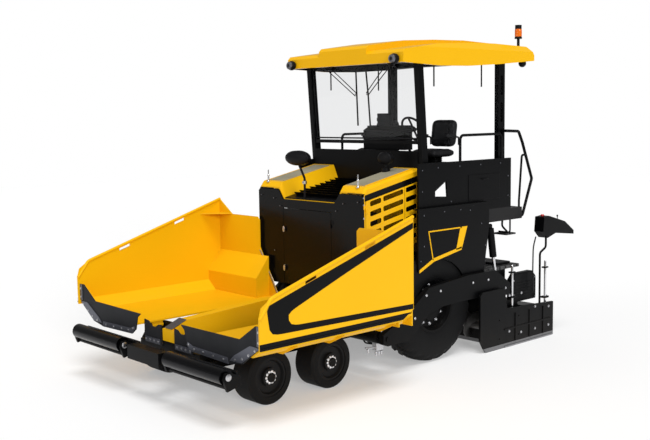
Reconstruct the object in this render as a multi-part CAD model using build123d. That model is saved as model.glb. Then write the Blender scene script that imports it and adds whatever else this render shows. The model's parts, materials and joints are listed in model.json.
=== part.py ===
"""Wheeled asphalt paver: folding hopper, slat conveyors, canopy and an extending screed.

Millimetres. +X is the driving direction (towards the hopper), +Y the machine's left, +Z up.
Everything is drawn from the rear axle's place on the ground, and moved at the end so that
the origin lies on the ground under the middle of the machine.
"""
from build123d import *
from math import cos, radians, sin
import os

# ---------------------------------------------------------------- driving dimensions
SEAT_GAP = 0.3          # running clearance where a moving piece is carried
AIR = 6                 # gap around doors and covers
PANEL = 20              # doors, covers and body panels
PLATE = 16              # hopper plate
SHEET = 12              # ribs, aprons and light plate
EAR_T = 14              # ears that hold a pin
PIN_R = 15

# wheels
REAR_TYRE_R = 685
REAR_TYRE_W = 350
REAR_RIM_R = 330
FRONT_TYRE_R = 290
FRONT_TYRE_W = 290
FRONT_RIM_R = 205

# frame: two side plates, with the conveyor tunnel between them
FRAME_IN = 520
FRAME_T = 40
FRAME_OUT = FRAME_IN + FRAME_T
FRAME_BOTTOM = FRONT_TYRE_R + 70
FRAME_TOP = FRAME_BOTTOM + 260
FRAME_FRONT_X = 3000
FRAME_REAR_X = -700
CROSS_T = 40
BEAM_T = 50
TUNNEL_TOP = 1070

# conveyors
CHAIN_T = 30
CHAIN_LOOP_R = 75
SLAT_PITCH = 260
SLAT_WIDE = 45
SLAT_PROUD = 15
LANE_IN = 80
LANE_OUT = 500
DECK_T = 25
DECK_TOP = FRAME_BOTTOM + CROSS_T + 20 + SLAT_PROUD + 2 * CHAIN_LOOP_R - CHAIN_T
DECK_REAR_X = FRAME_REAR_X + 130
DECK_FRONT_X = FRAME_FRONT_X - 110
RIDGE_HALF = 62
RIDGE_NOSE_HALF = 115
RIDGE_HIGH = 305

# wheel places
DRIVE_LONG = 190
REAR_WHEEL_Y = FRAME_OUT + DRIVE_LONG + REAR_TYRE_W / 2
FRONT_WHEEL_Y = FRAME_OUT + 185 + FRONT_TYRE_W / 2
FRONT_AXLE_PITCH = 855
FRONT_WHEEL_XS = (FRAME_FRONT_X - 500, FRAME_FRONT_X - 500 - FRONT_AXLE_PITCH)
KING_Y = FRAME_OUT + 100
KING_R = 45
KING_HALF = 83
FORK_T = 30

# hood over the engine
HOOD_FRONT_X = 1040
HOOD_REAR_X = HOOD_FRONT_X - 920
HOOD_HALF = 930
HOOD_BOTTOM = TUNNEL_TOP + 40
HOOD_TOP_FRONT = 2060   # top of the front face; the bevelled nose rises from it
NOSE_LONG = 65
NOSE_HIGH = 75
HOOD_SLOPE = 0.2        # rise of the hood and of the slot rows towards the rear
SHOULDER_IN = 547
SHOULDER_BEVEL = 28
TROUGH_DEEP = 115
TROUGH_SLOPE = 85
MOUTH_TOP = 900         # lower edge of the front panel, above the tunnel's mouth

# side cover and front door
COVER_BOTTOM = HOOD_BOTTOM + 166
COVER_HINGE_X = HOOD_FRONT_X - 43
COVER_REAR_X = HOOD_REAR_X + 236
COVER_DROP = 75         # from the hood's front height down to the cover's upper edge
ROW_DROP = 98           # and down to the first row of slots
ROW_PITCH = 115
ROWS = 7
COLUMNS = ((-114, -292), (-328, -659), (-707, -888))
DOOR_HINGE_Y = 400
DOOR_FREE_Y = -460
DOOR_TOP = 1836
ARCH_R = REAR_TYRE_R + 87

# hopper wings
WING_REAR_X = HOOD_FRONT_X + 34
WING_FRONT_X = FRAME_FRONT_X + 140
WING_NOSE_X = WING_FRONT_X + 40
WING_OUT = 1720
HINGE_Y = FRAME_OUT - 20
HINGE_R = 28
HINGE_Z = FRAME_TOP + HINGE_R + 10
WING_FLOOR_TOP = HINGE_Z + 62
WING_FLOOR_IN = 500
WING_BOTTOM = WING_FLOOR_TOP + 60
RIM_REAR_Z = WING_FLOOR_TOP + 1180
RIM_NOSE_Z = WING_FLOOR_TOP + 575
RIM_R = 18
BACK_TOP = WING_FLOOR_TOP + 980
BACK_IN = 875
KNUCKLE_LONG = 140
KNUCKLE_XS = (WING_REAR_X + 180, (WING_REAR_X + WING_FRONT_X) / 2, WING_FRONT_X - 290)
LUG_T = 25

# fenders, body and platform
FENDER_T = 25
FENDER_OUT = REAR_WHEEL_Y + REAR_TYRE_W / 2 + 5 + FENDER_T
LINER_R = REAR_TYRE_R + 75
SKIN_ARCH_R = 555       # wheel cut-out in the fender's skin
SKIN_TOP = 1860
BODY_FRONT_X = HOOD_REAR_X - PANEL
BODY_REAR_X = -790
BODY_HALF = REAR_WHEEL_Y - REAR_TYRE_W / 2 - 51
PLATFORM_TOP = 1750
PLATFORM_T = 40
PLATFORM_HALF = HOOD_HALF + 120
PLATFORM_REAR_X = -1520
BUMPER_REAR_X = PLATFORM_REAR_X - 240
BUMPER_TOP = PLATFORM_TOP - 20
BUMPER_BOTTOM = PLATFORM_TOP - 170
WALL_T = 25
SIDE_WALL_TOP = PLATFORM_TOP + 630
FRONT_WALL_TOP = PLATFORM_TOP + 770
SILL_Z = PLATFORM_TOP + 850

# canopy
ROOF_HALF = PLATFORM_HALF - 40
ROOF_WALL = 40
ROOF_FRONT_X = 450
ROOF_REAR_X = -2060
ROOF_BOTTOM = 3520
CEILING = ROOF_BOTTOM + 130
ROOF_TOP = ROOF_BOTTOM + 374
CREST_HALF = 415
CREST_HIGH = 70
POST_WIDE = 64
POST_OUT = ROOF_HALF - ROOF_WALL - 1
POST_IN = POST_OUT - POST_WIDE
FRONT_POST_X = -6
FRONT_POST_DEEP = 100
POST_LEAN = 80
REAR_POST_X = -1490
REAR_POST_DEEP = 130

# augers and screed
AUGER_X = FRAME_REAR_X - 160
AUGER_Z = 300
AUGER_R = 180
AUGER_SHAFT_R = 50
AUGER_LONG = 1030
AUGER_PITCH = 300
FLIGHT_T = 14
STEPS_PER_TURN = 12
GEARBOX_HALF = 52
TOW_X = HOOD_FRONT_X - 90
TOW_Z = FRAME_BOTTOM + 90
TOW_R = 70
ARM_IN = FENDER_OUT + 15
ARM_T = 70
SCREED_HALF = ARM_IN
SCREED_FRONT_X = AUGER_X - AUGER_R - 40
SCREED_REAR_X = SCREED_FRONT_X - 480
SCREED_HIGH = 930
EXT_REAR_X = SCREED_REAR_X - 600
END_PLATE_T = 30
END_PLATE_OUT = SCREED_HALF + 100 + END_PLATE_T
END_PLATE_TOP = 500

# holes in the end plates for bolted widening boxes
BOLT_X = SCREED_FRONT_X - 120
BOLT_Z = 250
BOLT_SPACING_X = 400
BOLT_SPACING_Z = 240
BOLT_HOLE_R = 11

# hydraulic cylinders: feet on the machine, eyes on the wing and on the tow arm
WING_RAM_X = WING_REAR_X + 90
EAR_GAP = 46
WING_FOOT = (HINGE_Y + 100, HINGE_Z - 233)
WING_EYE = (HINGE_Y + 400, HINGE_Z - 20)
WING_STROKE = 190
LIFT_Y = ARM_IN - 55
LIFT_FOOT = (BODY_REAR_X - 250, PLATFORM_TOP - 210)
LIFT_EYE = (BODY_REAR_X - 375, 800)
LIFT_STROKE = 270

# lashing eyes
LASHING_R = 22
LASHING_T = 25
LASHING_INSET = 60

# push rollers
BEAM_PIVOT_X = FRAME_FRONT_X + BEAM_T + 130
ROLLER_X = BEAM_PIVOT_X + 170
ROLLER_Z = 535
ROLLER_R = 80
ROLLER_IN = 440
ROLLER_OUT = 1410
ROLLER_EAR_T = 30

# control panels on the screed ends reach furthest back
PANEL_POST_X = EXT_REAR_X + 290
CONTROL_REAR_X = EXT_REAR_X - 460

SHIFT_X = -(ROLLER_X + ROLLER_R + CONTROL_REAR_X) / 2

nodes = {}


# ---------------------------------------------------------------- shapes used everywhere
def block(x0, x1, y0, y1, z0, z1):
    return Pos((x0 + x1) / 2, (y0 + y1) / 2, (z0 + z1) / 2) * Box(abs(x1 - x0), abs(y1 - y0), abs(z1 - z0))


def outline(points, radius=0):
    face = make_face(Polyline(*points, close=True))
    if radius:
        face = fillet(face.vertices(), radius)
    return face


def side_plate(points, y0, y1, radius=0):
    """Outline of (x, z) points, from y0 to y1."""
    face = Plane(origin=(0, y1, 0), x_dir=(1, 0, 0), z_dir=(0, -1, 0)) * outline(points, radius)
    return extrude(face, amount=y1 - y0, dir=(0, -1, 0))


def front_plate(points, x0, x1, radius=0):
    """Outline of (y, z) points, from x0 to x1."""
    face = Plane(origin=(x0, 0, 0), x_dir=(0, 1, 0), z_dir=(1, 0, 0)) * outline(points, radius)
    return extrude(face, amount=x1 - x0, dir=(1, 0, 0))


def plan_plate(points, z0, z1, radius=0):
    """Outline of (x, y) points, from z0 to z1."""
    face = Pos(0, 0, z0) * outline(points, radius)
    return extrude(face, amount=z1 - z0, dir=(0, 0, 1))


def rod(start, end, radius):
    """Round bar from one point to another."""
    start, end = Vector(*start), Vector(*end)
    way = end - start
    return Plane(origin=start, z_dir=way) * extrude(Circle(radius), amount=way.length)


def across(x, z, radius, y0, y1):
    """Round bar along Y."""
    return rod((x, min(y0, y1), z), (x, max(y0, y1), z), radius)


def along(y, z, radius, x0, x1):
    """Round bar along X."""
    return rod((min(x0, x1), y, z), (max(x0, x1), y, z), radius)


def bent_tube(points, bend, radius):
    """Round tube along straight runs joined by arcs."""
    path = FilletPolyline(*points, radius=bend)
    start = Plane(origin=path @ 0, z_dir=path % 0)
    return sweep(start * Circle(radius), path=path)


def stadium(x0, x1, z, r, y0, y1):
    """Slot outline from x0 to x1 about height z, between y0 and y1."""
    return block(x0, x1, y0, y1, z - r, z + r) + across(x0, z, r, y0, y1) + across(x1, z, r, y0, y1)


def mirrored(shape):
    return mirror(shape, about=Plane.XZ)


def keep(name, shape):
    nodes[name] = shape


def keep_both(name, shape):
    """Left piece as drawn and its mirror image in one node."""
    keep(name, shape + mirrored(shape))


def keep_pair(name, shape):
    """Left piece as drawn, right piece mirrored."""
    keep(name + "_left", shape)
    keep(name + "_right", mirrored(shape))


# ---------------------------------------------------------------- chassis and conveyors
def frame_side():
    """Left side plate with the wing's hinge lugs and pins."""
    side = side_plate([
        (FRAME_REAR_X, FRAME_BOTTOM + 60), (FRAME_REAR_X + 120, FRAME_BOTTOM),
        (FRAME_FRONT_X, FRAME_BOTTOM), (FRAME_FRONT_X, FRAME_TOP), (HOOD_FRONT_X + 10, FRAME_TOP),
        (HOOD_FRONT_X - 160, TUNNEL_TOP), (FRAME_REAR_X, TUNNEL_TOP),
    ], FRAME_IN, FRAME_OUT)
    half = KNUCKLE_LONG / 2 + 1
    for x in KNUCKLE_XS:
        for end in (-1, 1):
            x0, x1 = x + end * half, x + end * (half + LUG_T)
            side = side + block(x0, x1, HINGE_Y - 18, HINGE_Y + 18, FRAME_TOP, HINGE_Z)
            side = side + along(HINGE_Y, HINGE_Z, HINGE_R, x0, x1)
        side = side + along(HINGE_Y, HINGE_Z, PIN_R, x - half - LUG_T, x + half + LUG_T)
    return side


def lashing_eyes():
    """Horizontal lugs bolted outside the frame's four corners, each with an upright hole."""
    y = FRAME_OUT + LASHING_R + 20
    z = FRAME_BOTTOM + LASHING_INSET + 20
    eyes = []
    for x in (FRAME_REAR_X + LASHING_INSET, FRAME_FRONT_X - LASHING_INSET):
        lug = block(x - 45, x + 45, FRAME_OUT, y + LASHING_R + 16, z, z + LASHING_T)
        eye = lug - rod((x, y, z - 1), (x, y, z + LASHING_T + 1), LASHING_R)
        eyes += [eye, mirrored(eye)]
    return eyes


def front_beam():
    """Cross beam below the frame's mouth, with the tongue and pin that carry the push beam."""
    front = FRAME_FRONT_X + BEAM_T
    beam = block(FRAME_FRONT_X, front, -FRAME_OUT, FRAME_OUT, FRAME_BOTTOM, DECK_TOP - SLAT_PROUD)
    root, neck, tip = 150, 60, BEAM_PIVOT_X + 40
    low, high = FRAME_BOTTOM + 35, FRAME_BOTTOM + 65
    tongue = plan_plate([(front, -root), (BEAM_PIVOT_X, -neck), (tip, -neck), (tip, neck),
                         (BEAM_PIVOT_X, neck),
                         (front, root)], low, high)
    return beam + tongue + rod((BEAM_PIVOT_X, 0, high), (BEAM_PIVOT_X, 0, high + 110), 2 * PIN_R - 0.5)


def chassis():
    """Two side plates, the tunnel's roof, cross members and the front beam, bolted face to face."""
    side = frame_side()
    tie = 60
    pieces = [side, mirrored(side), front_beam()] + lashing_eyes()
    pieces.append(block(FRAME_REAR_X + tie, HOOD_FRONT_X - 170, -FRAME_IN, FRAME_IN, TUNNEL_TOP - PLATE,
                        TUNNEL_TOP))
    pieces.append(block(FRAME_REAR_X, FRAME_REAR_X + tie, -FRAME_IN, FRAME_IN, TUNNEL_TOP - 90, TUNNEL_TOP))
    first, last, count = FRAME_REAR_X + 140, FRAME_FRONT_X - 200, 5
    for i in range(count):
        x = first + (last - first) * i / (count - 1)
        pieces.append(block(x, x + 80, -FRAME_IN, FRAME_IN, FRAME_BOTTOM, FRAME_BOTTOM + CROSS_T))
    keep("chassis", Compound([solid for piece in pieces for solid in piece.solids()]))


def axle_carriers():
    """Final drives, tow pins, lugs of the wing cylinders and the augers' gearbox."""
    neck = REAR_WHEEL_Y - REAR_TYRE_W / 2 - 10
    drive = across(0, REAR_TYRE_R, 150, FRAME_OUT, neck) + across(0, REAR_TYRE_R, 88, neck,
                                                                  REAR_WHEEL_Y - 40 - SEAT_GAP)
    tow_pin = across(TOW_X, TOW_Z, 2 * PIN_R, FRAME_OUT, ARM_IN + ARM_T + 12)
    tow_pin = tow_pin + across(TOW_X, TOW_Z, TOW_R, FRAME_OUT, ARM_IN - 60)
    carriers = None
    for piece in (drive, tow_pin, wing_cylinder_lug()):
        pair = piece + mirrored(piece)
        carriers = pair if carriers is None else carriers + pair
    half = GEARBOX_HALF
    gearbox = block(AUGER_X - 60, AUGER_X + 60, -half, half, AUGER_Z - 80, TUNNEL_TOP)
    strut = block(AUGER_X + 60, FRAME_REAR_X, -half, half, TUNNEL_TOP - 90, TUNNEL_TOP)
    keep("axle_carriers", carriers + gearbox + strut)


def wing_cylinder_lug():
    """Two ears and a pin on the frame side for the foot of a wing cylinder."""
    y, z = WING_FOOT
    lug = None
    for x0 in (WING_RAM_X - EAR_GAP - EAR_T, WING_RAM_X + EAR_GAP):
        ear = front_plate([(FRAME_OUT, z - 60), (y + 25, z - 20), (y + 25, z + 22), (FRAME_OUT, z + 60)],
                          x0, x0 + EAR_T)
        lug = ear if lug is None else lug + ear
    return lug + along(y, z, PIN_R, WING_RAM_X - EAR_GAP - EAR_T, WING_RAM_X + EAR_GAP + EAR_T)


def conveyor_deck():
    """Deck plate, and the ridge between the lanes, whose nose closes the frame's mouth."""
    deck = block(DECK_REAR_X, DECK_FRONT_X, -FRAME_IN, FRAME_IN, DECK_TOP - DECK_T, DECK_TOP)
    top = DECK_TOP + RIDGE_HIGH
    front = FRAME_FRONT_X + BEAM_T
    bend, nose = FRAME_FRONT_X - 1200, FRAME_FRONT_X - 140
    ridge = side_plate([(DECK_REAR_X, DECK_TOP), (DECK_REAR_X, top), (bend, top), (nose, top - 60),
                        (front, top - 140),
                        (front, DECK_TOP)], -RIDGE_HALF, RIDGE_HALF)
    post = block(FRAME_FRONT_X, front, -RIDGE_NOSE_HALF, RIDGE_NOSE_HALF, DECK_TOP - SLAT_PROUD, top - 145)
    keep("conveyor_deck", deck + ridge + post)


def conveyors():
    """Two chain loops with slats in each lane, upper run on the deck and return run below it."""
    mid = DECK_TOP + CHAIN_T - CHAIN_LOOP_R
    lane = None
    for y0 in (LANE_IN, LANE_OUT - CHAIN_T):
        outer = stadium(DECK_REAR_X, DECK_FRONT_X, mid, CHAIN_LOOP_R, y0, y0 + CHAIN_T)
        inner = stadium(DECK_REAR_X, DECK_FRONT_X, mid, CHAIN_LOOP_R - CHAIN_T, y0 - 1, y0 + CHAIN_T + 1)
        loop = outer - inner
        lane = loop if lane is None else lane + loop
    low, high = mid - CHAIN_LOOP_R, mid + CHAIN_LOOP_R
    count = int((DECK_FRONT_X - DECK_REAR_X) / SLAT_PITCH)
    for i in range(count + 1):
        x = DECK_REAR_X + i * SLAT_PITCH
        for z0, z1 in ((DECK_TOP + 8, high + SLAT_PROUD), (low - SLAT_PROUD, low + 18)):
            lane = lane + block(x, x + SLAT_WIDE, LANE_IN, LANE_OUT, z0, z1)
    keep_both("conveyor_chains", lane)


def centre_flap():
    """Scalloped rubber apron in front of each lane, with its steel clamp strip."""
    x = FRAME_FRONT_X + BEAM_T
    low, high = DECK_TOP - 35, DECK_TOP + 215
    y0, y1 = RIDGE_NOSE_HALF + 10, WING_FLOOR_IN - 45
    flap = front_plate([(y0, low), (y1, low), (y1, high), (y1 - 80, high - 8), (y0 + 180, high - 60),
                        (y0 + 110, high - 62), (y0 + 60, high - 25), (y0, high - 20)], x, x + SHEET)
    strip = block(x + SHEET, x + SHEET + 8, y0 + 20, y1 - 20, low + 12, low + 68)
    keep_both("centre_flap", flap + strip)


# ---------------------------------------------------------------- hopper wings
def rim_line(x):
    """Height of the wing's sloping upper edge."""
    return RIM_REAR_Z - (x - WING_REAR_X) * (RIM_REAR_Z - RIM_NOSE_Z) / (WING_FRONT_X - 110 - WING_REAR_X)


def wing_wall():
    """Outer wall with two hand slots under its rim, the rolled rim and the lip along the bottom."""
    y0, y1 = WING_OUT - PLATE, WING_OUT
    shoulder = WING_FRONT_X - 110
    toe = WING_REAR_X + 195
    wall = side_plate([
        (WING_REAR_X, WING_BOTTOM + 110), (WING_REAR_X, RIM_REAR_Z - RIM_R), (shoulder, RIM_NOSE_Z - RIM_R),
        (WING_NOSE_X - 30, RIM_NOSE_Z - 95), (WING_NOSE_X, RIM_NOSE_Z - 195), (WING_NOSE_X,
                                                                               WING_BOTTOM), (toe,
                                                                                              WING_BOTTOM),
    ], y0, y1)
    drop = 2 * RIM_R + 4
    for x in (WING_REAR_X + 650, WING_REAR_X + 1457):
        x0, x1 = x - 75, x + 75
        slot = side_plate([(x0, rim_line(x0) - drop), (x1, rim_line(x1) - drop),
                           (x1, rim_line(x1) - drop - 34),
                           (x0, rim_line(x0) - drop - 34)], y0 - 5, y1 + 5)
        wall = wall - slot
    mid = WING_OUT - PLATE / 2
    rim = bent_tube([(WING_REAR_X, mid, RIM_REAR_Z - RIM_R), (shoulder, mid, RIM_NOSE_Z - RIM_R),
                     (WING_NOSE_X - 12, mid, RIM_NOSE_Z - 195)], 90, RIM_R)
    lip = block(toe, WING_NOSE_X, WING_OUT, WING_OUT + 10, WING_BOTTOM + 18, WING_BOTTOM + 38)
    return wall + rim + lip


def wing_floor():
    """Floor with its chamfer to the wall, the front lip, ribs below and hinge knuckles."""
    t = PLATE
    wall_in = WING_OUT - t
    top, low = WING_FLOOR_TOP, WING_FLOOR_TOP - t
    bend = wall_in - 150
    floor = front_plate([(WING_FLOOR_IN, low), (bend + 6, low), (wall_in, top + 95), (wall_in, top + 118),
                         (bend, top),
                         (WING_FLOOR_IN, top)], WING_REAR_X, WING_FRONT_X)
    lip = front_plate([(WING_FLOOR_IN, low), (bend + 6, low), (wall_in, top + 95), (wall_in, top + 285),
                       (wall_in - 85, top + 285), (wall_in - 325, top + 125), (WING_FLOOR_IN, top + 125)],
                      WING_FRONT_X - t, WING_FRONT_X)
    shape = floor + lip
    rib_in, rib_low = HINGE_Y + 100, low - 54
    span = WING_FRONT_X - WING_REAR_X
    for x in (WING_REAR_X + 260, WING_REAR_X + span / 2 - 30, WING_FRONT_X - 440):
        rib = front_plate([(rib_in, rib_low), (bend - 70, rib_low), (wall_in, top + 40),
                           (wall_in, top + 95),
                           (bend + 6, low), (rib_in, low)], x, x + SHEET)
        shape = shape + rib
    half = KNUCKLE_LONG / 2
    for x in KNUCKLE_XS:
        web = block(x - half, x + half, HINGE_Y - 14, HINGE_Y + 14, HINGE_Z, low)
        knuckle = web + along(HINGE_Y, HINGE_Z, HINGE_R, x - half, x + half)
        shape = shape + (knuckle - along(HINGE_Y, HINGE_Z, PIN_R + 0.5, x - half, x + half))
    return shape


def wing_back():
    """Back wall cut along the funnel, the sloping foot that feeds the floor, and the corner gussets."""
    t = PLATE
    wall_in = WING_OUT - t
    low, x0, x1 = WING_FLOOR_TOP, WING_REAR_X, WING_REAR_X + t
    corner = wall_in - 265
    wall = front_plate([(WING_FLOOR_IN + 5, low - t), (BACK_IN - 15, low + 570), (BACK_IN, low + 600),
                        (BACK_IN, BACK_TOP - 40), (BACK_IN + 40, BACK_TOP), (corner, BACK_TOP),
                        (wall_in, RIM_REAR_Z - RIM_R), (wall_in, low - t)], x0, x1)
    foot_in = 700
    foot_x, knee_z, top_z = x1 + 204, low + 240, low + 500
    foot = side_plate([(x1, top_z), (x1, top_z - 26), (foot_x - t, knee_z - 8), (foot_x - t, low),
                       (foot_x, low),
                       (foot_x, knee_z)], foot_in, wall_in)
    cheek = side_plate([(x1, top_z), (x1, low), (foot_x, low), (foot_x, knee_z)], foot_in, foot_in + SHEET)
    gusset = plan_plate([(x1 - 4, corner), (x1 - 4, wall_in), (x1 + 309, wall_in)], BACK_TOP,
                        BACK_TOP + SHEET)
    return wall + foot + cheek + gusset


def wing_eye():
    """Ears and pin under the floor for the rod of the wing's cylinder."""
    y, z = WING_EYE
    low = WING_FLOOR_TOP - PLATE
    ears = None
    for x0 in (WING_RAM_X - EAR_GAP - EAR_T, WING_RAM_X + EAR_GAP):
        ear = front_plate([(y - 60, low), (y - 24, z - 20), (y + 24, z - 20), (y + 60, low)], x0,
                          x0 + EAR_T)
        ears = ear if ears is None else ears + ear
    return ears + along(y, z, PIN_R, WING_RAM_X - EAR_GAP - EAR_T, WING_RAM_X + EAR_GAP + EAR_T)


def wing():
    keep_pair("wing", wing_wall() + wing_floor() + wing_back() + wing_eye())


def wing_flap():
    """Rubber apron on the wing's front lip, and the steel strips that clamp it."""
    x = WING_FRONT_X
    top, out = WING_FLOOR_TOP, WING_OUT - PLATE - 2
    flap = front_plate([
        (385, top + 127), (out - 332, top + 135), (out - 82, top + 300), (out, top + 300), (out, top + 110),
        (out - 292, top - 100), (out - 502, top - 135), (570, top - 120), (490, top - 60), (450, top + 80),
    ], x, x + SHEET)
    front = x + SHEET
    upright = [(out - 55, top + 110), (out, top + 110), (out, top + 300), (out - 55, top + 300)]
    slant = [(out - 10, top + 96), (out - 300, top - 92), (out - 482, top - 96), (out - 412, top - 36),
             (out - 162, top + 100), (out - 60, top + 100)]
    low = [(out - 522, top - 72), (out - 504, top - 134), (570, top - 118), (500, top - 62),
           (515, top - 30),
           (600, top - 60)]
    strips = None
    for points in (upright, slant, low):
        strip = front_plate(points, front, front + 8)
        strips = strip if strips is None else strips + strip
    keep_pair("wing_flap", flap + strips)


# ---------------------------------------------------------------- push beam
def push_beam():
    """Beam on a vertical pivot, with ears that carry the two rollers and a guard tube under each."""
    back, front = BEAM_PIVOT_X + 20, BEAM_PIVOT_X + 75
    low, high = FRAME_BOTTOM + 75, FRAME_BOTTOM + 155
    end = ROLLER_OUT + ROLLER_EAR_T + 8
    beam = block(back, front, -end, end, low, high)
    hub = rod((BEAM_PIVOT_X, 0, low), (BEAM_PIVOT_X, 0, high + 10), 4 * PIN_R)
    hub = hub + block(BEAM_PIVOT_X, back, -4 * PIN_R, 4 * PIN_R, low, high)
    beam = beam + hub - rod((BEAM_PIVOT_X, 0, low - 15), (BEAM_PIVOT_X, 0, high + 25), 2 * PIN_R)
    ear_profile = [(back, low), (ROLLER_X + 10, low - 40), (ROLLER_X + ROLLER_R - 25, ROLLER_Z - 20),
                   (ROLLER_X + 25, ROLLER_Z + 42), (ROLLER_X - 30, ROLLER_Z + 42), (back, high + 5)]
    inner, outer = ROLLER_IN - 8 - ROLLER_EAR_T, ROLLER_OUT + 8
    for y0 in (inner, outer):
        ear = side_plate(ear_profile, y0, y0 + ROLLER_EAR_T)
        beam = beam + ear + mirrored(ear)
    guard = across(ROLLER_X - 20, ROLLER_Z - ROLLER_R - 30, 22, inner, outer + ROLLER_EAR_T)
    beam = beam + guard + mirrored(guard)
    block_half = 300
    beam = beam + block(front, ROLLER_X + 30, -block_half, block_half, low - 20, ROLLER_Z + 30)
    bore = across(ROLLER_X, ROLLER_Z, 20, inner - 1, outer + ROLLER_EAR_T + 1)
    keep("push_beam", beam - bore - mirrored(bore))
    roller = across(ROLLER_X, ROLLER_Z, ROLLER_R, ROLLER_IN, ROLLER_OUT)
    keep_pair("push_roller", roller + across(ROLLER_X, ROLLER_Z, 19.5, inner + 5, outer + ROLLER_EAR_T - 5))


# ---------------------------------------------------------------- wheels
def turned(profile, x, y, z):
    """Turns (radius, depth) points about the wheel's axle; depth is outward from its middle plane."""
    face = Plane(origin=(x, y, z), x_dir=(1, 0, 0), z_dir=(0, 0, 1)) * make_face(Polyline(*profile,
                                                                                          close=True))
    return revolve(face, axis=Axis((x, y, z), (0, 1, 0)), revolution_arc=360)


def rear_wheel():
    half = REAR_TYRE_W / 2
    r, rim = REAR_TYRE_R, REAR_RIM_R
    z = REAR_TYRE_R
    tyre = turned([
        (rim, -half + 25), (rim + 90, -half), (r - 120, -half), (r - 20, -half + 35), (r, -half + 80),
        (r, half - 80), (r - 20, half - 35), (r - 120, half), (rim + 90, half), (rim, half - 25),
    ], 0, REAR_WHEEL_Y, z)
    keep_pair("rear_tyre", tyre)
    disc = turned([
        (0, -40), (90, -40), (90, 10), (rim - 40, 40), (rim - 20, -half + 25), (rim, -half + 25),
        (rim, half - 25), (rim - 25, half - 25), (rim - 45, half - 60), (rim - 60, 62), (200, 60),
        (190, 100), (120, 110), (0, 110),
    ], 0, REAR_WHEEL_Y, z)
    keep_pair("rear_rim", disc)


def front_wheels():
    """Small wheels with pressed-on tyres, each on a stub axle that steers about a king pin."""
    half = FRONT_TYRE_W / 2
    r, rim, z = FRONT_TYRE_R, FRONT_RIM_R, FRONT_TYRE_R
    axle_r = 32
    tyre_profile = [(rim, -half), (r - 20, -half), (r, -half + 20), (r, half - 20), (r - 20, half),
                    (rim, half)]
    hub_profile = [(axle_r, -half + 20), (rim, -half + 20), (rim, half - 10), (rim - 25, half - 10),
                   (rim - 40, half - 40), (100, half - 40), (95, half - 5), (0, half - 5), (0, half - 60),
                   (axle_r, half - 60)]
    for number, x in enumerate(FRONT_WHEEL_XS, 1):
        wheel = turned(tyre_profile, x, FRONT_WHEEL_Y, z) + turned(hub_profile, x, FRONT_WHEEL_Y, z)
        keep_pair(f"front_wheel_{number}", wheel)
        axle = across(x, z, axle_r - 0.5, KING_Y, FRONT_WHEEL_Y + half - 62)
        reach = KING_HALF - SEAT_GAP
        keep_pair(f"knuckle_{number}", axle + rod((x, KING_Y, z - reach), (x, KING_Y, z + reach), KING_R))


def bogies():
    """Beam between the two front wheels of a side, with a fork for each king pin."""
    front, rear = FRONT_WHEEL_XS
    z = FRONT_TYRE_R
    out = KING_Y + 60
    beam = block(rear - 70, front + 70, FRAME_OUT, FRAME_OUT + 55, FRAME_BOTTOM + 10, FRAME_BOTTOM + 130)
    for x in (front, rear):
        x0, x1, y0 = x - 60, x + 60, FRAME_OUT + 15
        beam = beam + block(x0, x1, y0, out, z + KING_HALF, z + KING_HALF + FORK_T)
        beam = beam + block(x0, x1, y0, out, z - KING_HALF - FORK_T, z - KING_HALF)
        beam = beam + block(x0, x1, y0, y0 + FORK_T, z - KING_HALF - FORK_T, z + KING_HALF + FORK_T)
    keep_both("bogies", beam)


# ---------------------------------------------------------------- door hinges
HINGE_BARREL_R = 8
HINGE_LEAF = 36
HINGE_OUT = HINGE_BARREL_R + 1
HINGE_HALF = 45


def door_hinges(place, heights):
    """Barrels and leaves: the fixed halves and the halves on the door, one above the other.

    place(along, out) gives (x, y): along runs from the axis over the door, out points away from it.
    """
    fixed, moving = None, None
    axis = place(0, HINGE_OUT)
    for z in heights:
        for z0, z1, sign in ((z + SEAT_GAP, z + HINGE_HALF, -1), (z - HINGE_HALF, z, 1)):
            a, b = place(0, 0), place(sign * HINGE_LEAF, 6)
            leaf = block(a[0], b[0], a[1], b[1], z0, z1)
            piece = leaf + rod((axis[0], axis[1], z0), (axis[0], axis[1], z1), HINGE_BARREL_R)
            if sign > 0:
                moving = piece if moving is None else moving + piece
            else:
                fixed = piece if fixed is None else fixed + piece
    return fixed, moving


# ---------------------------------------------------------------- hood
def hood_top(x):
    """Height of the shoulders, which fall away over the bevelled nose."""
    back = HOOD_FRONT_X - x
    return HOOD_TOP_FRONT + NOSE_HIGH * min(1, back / NOSE_LONG) + HOOD_SLOPE * back


def trough_top(x):
    return HOOD_TOP_FRONT - TROUGH_DEEP + HOOD_SLOPE * (HOOD_FRONT_X - x)


def row_line(x, drop):
    """Height of a line that runs along the hood's side, a given drop below its front height."""
    return HOOD_TOP_FRONT - drop + HOOD_SLOPE * (HOOD_FRONT_X - x)


def hood_section(x, inset):
    low, top, sunk = HOOD_BOTTOM - min(inset, 1), hood_top(x) - inset, trough_top(x) - inset
    half, bevel = HOOD_HALF - inset, SHOULDER_BEVEL
    inner = SHOULDER_IN + inset * 0.8
    right = [(inner - TROUGH_SLOPE, sunk), (inner, top), (half - bevel, top), (half, top - bevel),
             (half, low)]
    left = [(-y, z) for y, z in reversed(right)]
    return Plane(origin=(x, 0, 0), x_dir=(0, 1, 0), z_dir=(1, 0, 0)) * outline(left + right)


def hood_body(inset, x0, x1):
    """Ruled body through the hood's sections, with the nose's bevel at the front."""
    bend = HOOD_FRONT_X - NOSE_LONG
    main = loft([hood_section(x0, inset), hood_section(bend, inset)], ruled=True)
    return main + loft([hood_section(bend, inset), hood_section(x1, inset)], ruled=True)


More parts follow.
